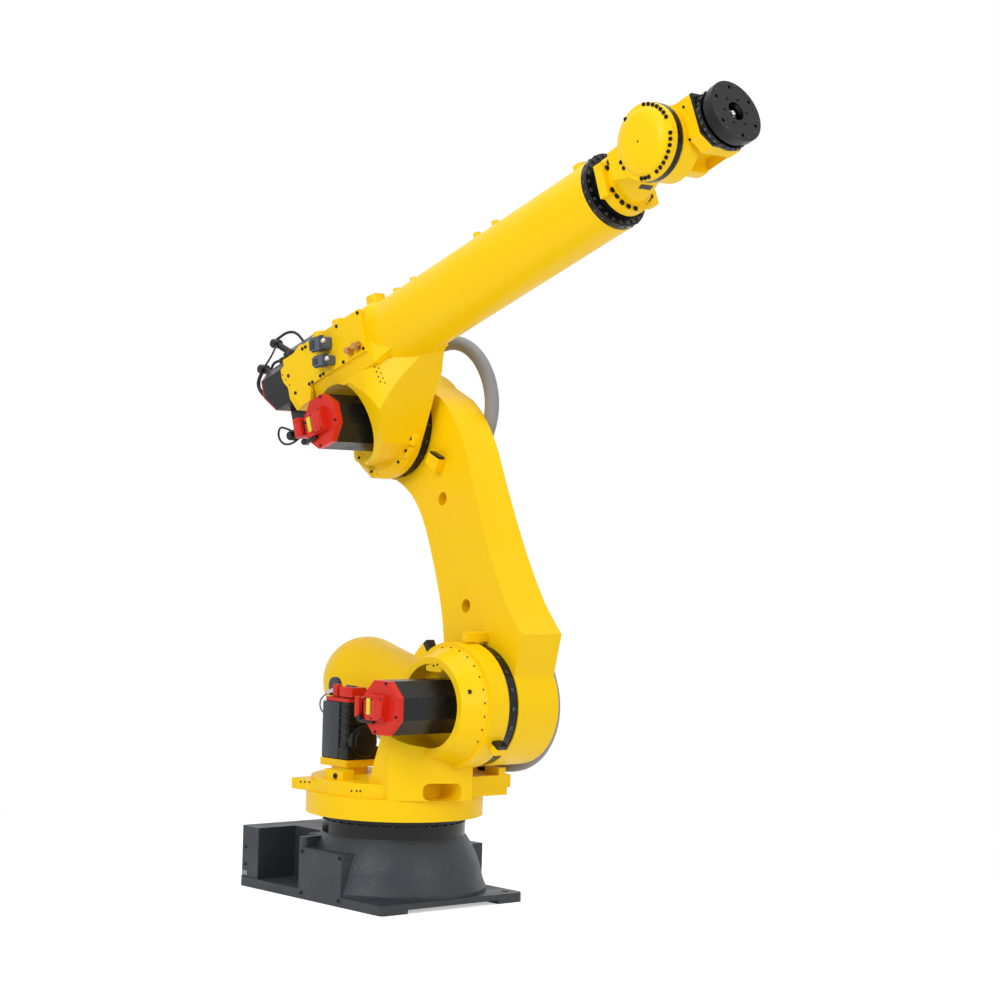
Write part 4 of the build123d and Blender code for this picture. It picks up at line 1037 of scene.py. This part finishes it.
# %% Screws of the rings and the base
side_axes = (forward, upward)
shoulder_ring_radius, shoulder_ring_y = 200, 69
elbow_ring_radius, elbow_ring_y = 183, 138
slewing_circle, slewing_top = 237, 262.3
cover_edge = 9
cover_low, cover_high = ([value / mm for value in corner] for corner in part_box("base_side_cover"))
rear_x, rear_side, rear_levels = -433, 300, (133, 75)

add_screw_ring("lower_arm", at_shoulder(0, 0, shoulder_ring_y), side_axes,
               shoulder_ring_radius - rim_sunk, 20, 6, oiled_steel)
add_screw_ring("lower_arm", at_elbow(0, 0, elbow_ring_y), side_axes,
               elbow_ring_radius - rim_sunk, 20, 5, oiled_steel)
for side in (-1, 1):
    for x in (cover_low[0] + cover_edge, cover_high[0] - cover_edge):
        for z in (cover_low[2] + cover_edge, cover_high[2] - cover_edge):
            add_screw("base", at_floor(x, -side * cover_low[1], z), side * left, 6)
    for z in rear_levels:
        add_screw("base", at_floor(rear_x, side * rear_side, z), side * left, 5)
add_screw_ring("base", at_floor(0, 0, slewing_top), (forward, left), slewing_circle, 36, 4,
               oiled_steel, upward)
print("screws:", {" ".join(group): len(found) for group, found in screws.items()})

# %% [markdown]
# ## Casting lugs and oil seal
# Round the elbow's bowl the casting has square lugs, each with one screw. They are blocks that
# point away from the elbow's axis. At the wrist, a thin black seal closes the gap round the
# bending axis.

# %% Casting lugs and the wrist's oil seal
lug_places = ((-131, -76, 58), (-82, -145, 60), (60, -160, 66), (110, -137, 66), (154, -109, 60))
lug_inset = 0.97

lugs = bmesh.new()
for along, up, near in lug_places:
    outward = (along * fore_along + up * fore_up).normalized()
    add_block(lugs, at_elbow(along * lug_inset, up * lug_inset, near + 17),
              (outward.cross(left), outward, left), (44, 40, 34), 5)
    add_screw("forearm", at_elbow(along, up, near), right, 5.5)
place_piece("casing_lugs", lugs, yellow_enamel, "forearm")
seal = bmesh.new()
add_turned(seal, at_bend(0, 0, -121), right, [(114, 0), (118.4, 0), (118.4, 20), (114, 20)], 72)
place_piece("bend_seal_band", seal, black_enamel, "wrist")

# %% [markdown]
# ## One screw, many seats
# A socket-head screw is a short cylinder with a chamfered rim and a round socket. Copied meshes
# would have to be changed one by one, so Geometry Nodes make the screw once and set it on every
# point of a seat list. Each point carries the way it faces and its size, and one tree serves
# every group. All sizes inside the tree are shares of the head's radius.

# %% The screw tree
head_sides = 18
head_height = 0.55
rim_width = 0.86
socket_width = 0.55
chamfer_height = 0.12
socket_depth = 0.35


def screw_tree():
    tree = bpy.data.node_groups.new("screw_pattern", "GeometryNodeTree")
    face = tree.interface
    face.new_socket("Geometry", in_out="OUTPUT", socket_type="NodeSocketGeometry")
    face.new_socket("Geometry", in_out="INPUT", socket_type="NodeSocketGeometry")
    for name, kind, value in (("Head sides", "NodeSocketInt", head_sides),
                              ("Head height", "NodeSocketFloat", head_height),
                              ("Rim width", "NodeSocketFloat", rim_width),
                              ("Socket width", "NodeSocketFloat", socket_width)):
        face.new_socket(name, in_out="INPUT", socket_type=kind).default_value = value
    face.new_socket("Finish", in_out="INPUT", socket_type="NodeSocketMaterial")

    def node(kind, **inputs):
        made = tree.nodes.new(kind)
        for name, value in inputs.items():
            made.inputs[name.replace("_", " ")].default_value = value
        return made

    def link(source, target):
        tree.links.new(source, target)

    given = tree.nodes.new("NodeGroupInput")
    head = node("GeometryNodeMeshCylinder", Radius=1.0)
    link(given.outputs["Head sides"], head.inputs["Vertices"])
    link(given.outputs["Head height"], head.inputs["Depth"])
    rise = node("ShaderNodeCombineXYZ")
    link(math_node(tree, "MULTIPLY", given.outputs["Head height"], 0.5), rise.inputs["Z"])
    stand = node("GeometryNodeTransform")
    link(head.outputs["Mesh"], stand.inputs["Geometry"])
    link(rise.outputs[0], stand.inputs["Translation"])
    mesh, top = stand.outputs["Geometry"], head.outputs["Top"]
    for offset, width_of in ((chamfer_height, "Rim width"), (0.0, "Socket width"),
                             (-socket_depth, None)):
        push = node("GeometryNodeExtrudeMesh", Offset_Scale=offset, Individual=False)
        link(mesh, push.inputs["Mesh"])
        link(top, push.inputs["Selection"])
        mesh, top = push.outputs["Mesh"], push.outputs["Top"]
        if width_of:
            narrow = node("GeometryNodeScaleElements")
            link(mesh, narrow.inputs["Geometry"])
            link(top, narrow.inputs["Selection"])
            link(given.outputs[width_of], narrow.inputs["Scale"])
            mesh = narrow.outputs["Geometry"]
    facing = node("GeometryNodeInputNamedAttribute", Name="facing")
    facing.data_type = "FLOAT_VECTOR"
    size = node("GeometryNodeInputNamedAttribute", Name="size")
    aim = node("FunctionNodeAlignRotationToVector")
    aim.axis = "Z"
    link(facing.outputs["Attribute"], aim.inputs["Vector"])
    spread = node("GeometryNodeInstanceOnPoints")
    link(given.outputs["Geometry"], spread.inputs["Points"])
    link(mesh, spread.inputs["Instance"])
    link(aim.outputs["Rotation"], spread.inputs["Rotation"])
    link(size.outputs["Attribute"], spread.inputs["Scale"])
    real = node("GeometryNodeRealizeInstances")
    link(spread.outputs["Instances"], real.inputs["Geometry"])
    coat = node("GeometryNodeSetMaterial")
    link(real.outputs["Geometry"], coat.inputs["Geometry"])
    link(given.outputs["Finish"], coat.inputs["Material"])
    out = tree.nodes.new("NodeGroupOutput")
    link(coat.outputs["Geometry"], out.inputs["Geometry"])
    return tree


pattern = screw_tree()
socket_of = {item.name: item.identifier for item in pattern.interface.items_tree
             if item.in_out == "INPUT"}
print("screw tree inputs:", list(socket_of))

# %% [markdown]
# ## Screws of each moving group
# The notes of one group and one metal become a mesh of loose points, on which the tree's modifier
# works. Its result is taken as a plain mesh before the piece is told which group it rides on. The
# heads are sunk by a hair, so that no screw floats above its seat.

# %% Set the screws
sink = 0.3
for (body, metal), found in screws.items():
    name = body + "_screws_" + metal
    seats = bpy.data.meshes.new(name + "_seats")
    seats.from_pydata([place - facing * sink * mm for place, facing, radius in found], [], [])
    seats.attributes.new("facing", "FLOAT_VECTOR", "POINT").data.foreach_set(
        "vector", [value for place, facing, radius in found for value in facing])
    seats.attributes.new("size", "FLOAT", "POINT").data.foreach_set(
        "value", [radius * mm for place, facing, radius in found])
    holder = bpy.data.objects.new(name + "_seats", seats)
    scene.collection.objects.link(holder)
    modifier = holder.modifiers.new("screws", "NODES")
    modifier.node_group = pattern
    modifier[socket_of["Finish"]] = bpy.data.materials[metal]
    bpy.context.view_layer.update()
    evaluated = holder.evaluated_get(bpy.context.evaluated_depsgraph_get())
    screw_mesh = bpy.data.meshes.new_from_object(evaluated)
    holder.modifiers.remove(modifier)
    bpy.data.objects.remove(holder)
    bpy.data.meshes.remove(seats)
    screw_mesh.name = name
    piece = bpy.data.objects.new(name, screw_mesh)
    scene.collection.objects.link(piece)
    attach(piece, body)
    print(name, len(screw_mesh.polygons), "faces")

# %% [markdown]
# ## Covers and bare plates
# The far side of the arm, which the photograph hides, has the round covers of the two gearboxes,
# as arms of this kind do. A bare grey plate sits under the wrist and one at each side of the
# base, and a steel bush lines the tool bore.

# %% Covers, plates and the tool bore's bush
covers = bmesh.new()
add_turned(covers, at_shoulder(0, 0, 264), left,
           [(128, 0), (128, 6), (124, 9), (60, 9), (56, 5)], 64)
add_turned(covers, at_elbow(0, 0, 299), left, [(118, 0), (118, 6), (114, 9), (52, 9), (48, 5)], 64)
place_piece("gearbox_covers", covers, yellow_enamel, "lower_arm")
wrist_plate = bmesh.new()
add_block(wrist_plate, at_bend(-170, -53, -12),
          (left, Vector((0.78, 0, 0.63)), Vector((0.63, 0, -0.78))), (48, 16, 2), 0.6)
place_piece("wrist_bare_plate", wrist_plate, panel_grey, "wrist")
bush = bmesh.new()
add_turned(bush, at_hand(206, 0, 0), hand_along,
           [(20, 0), (20, 4), (14, 8), (8, 9), (8, 16), (5, 18)], 32)
place_piece("tool_bore_nose", bush, bright_steel, "tool_flange")
base_plates = bmesh.new()
for side in (-1, 1):
    add_block(base_plates, at_floor(-434, side * 301, 46), floor_axes, (30, 3, 16), 0.8)
place_piece("base_bare_plates", base_plates, hose_grey, "base")
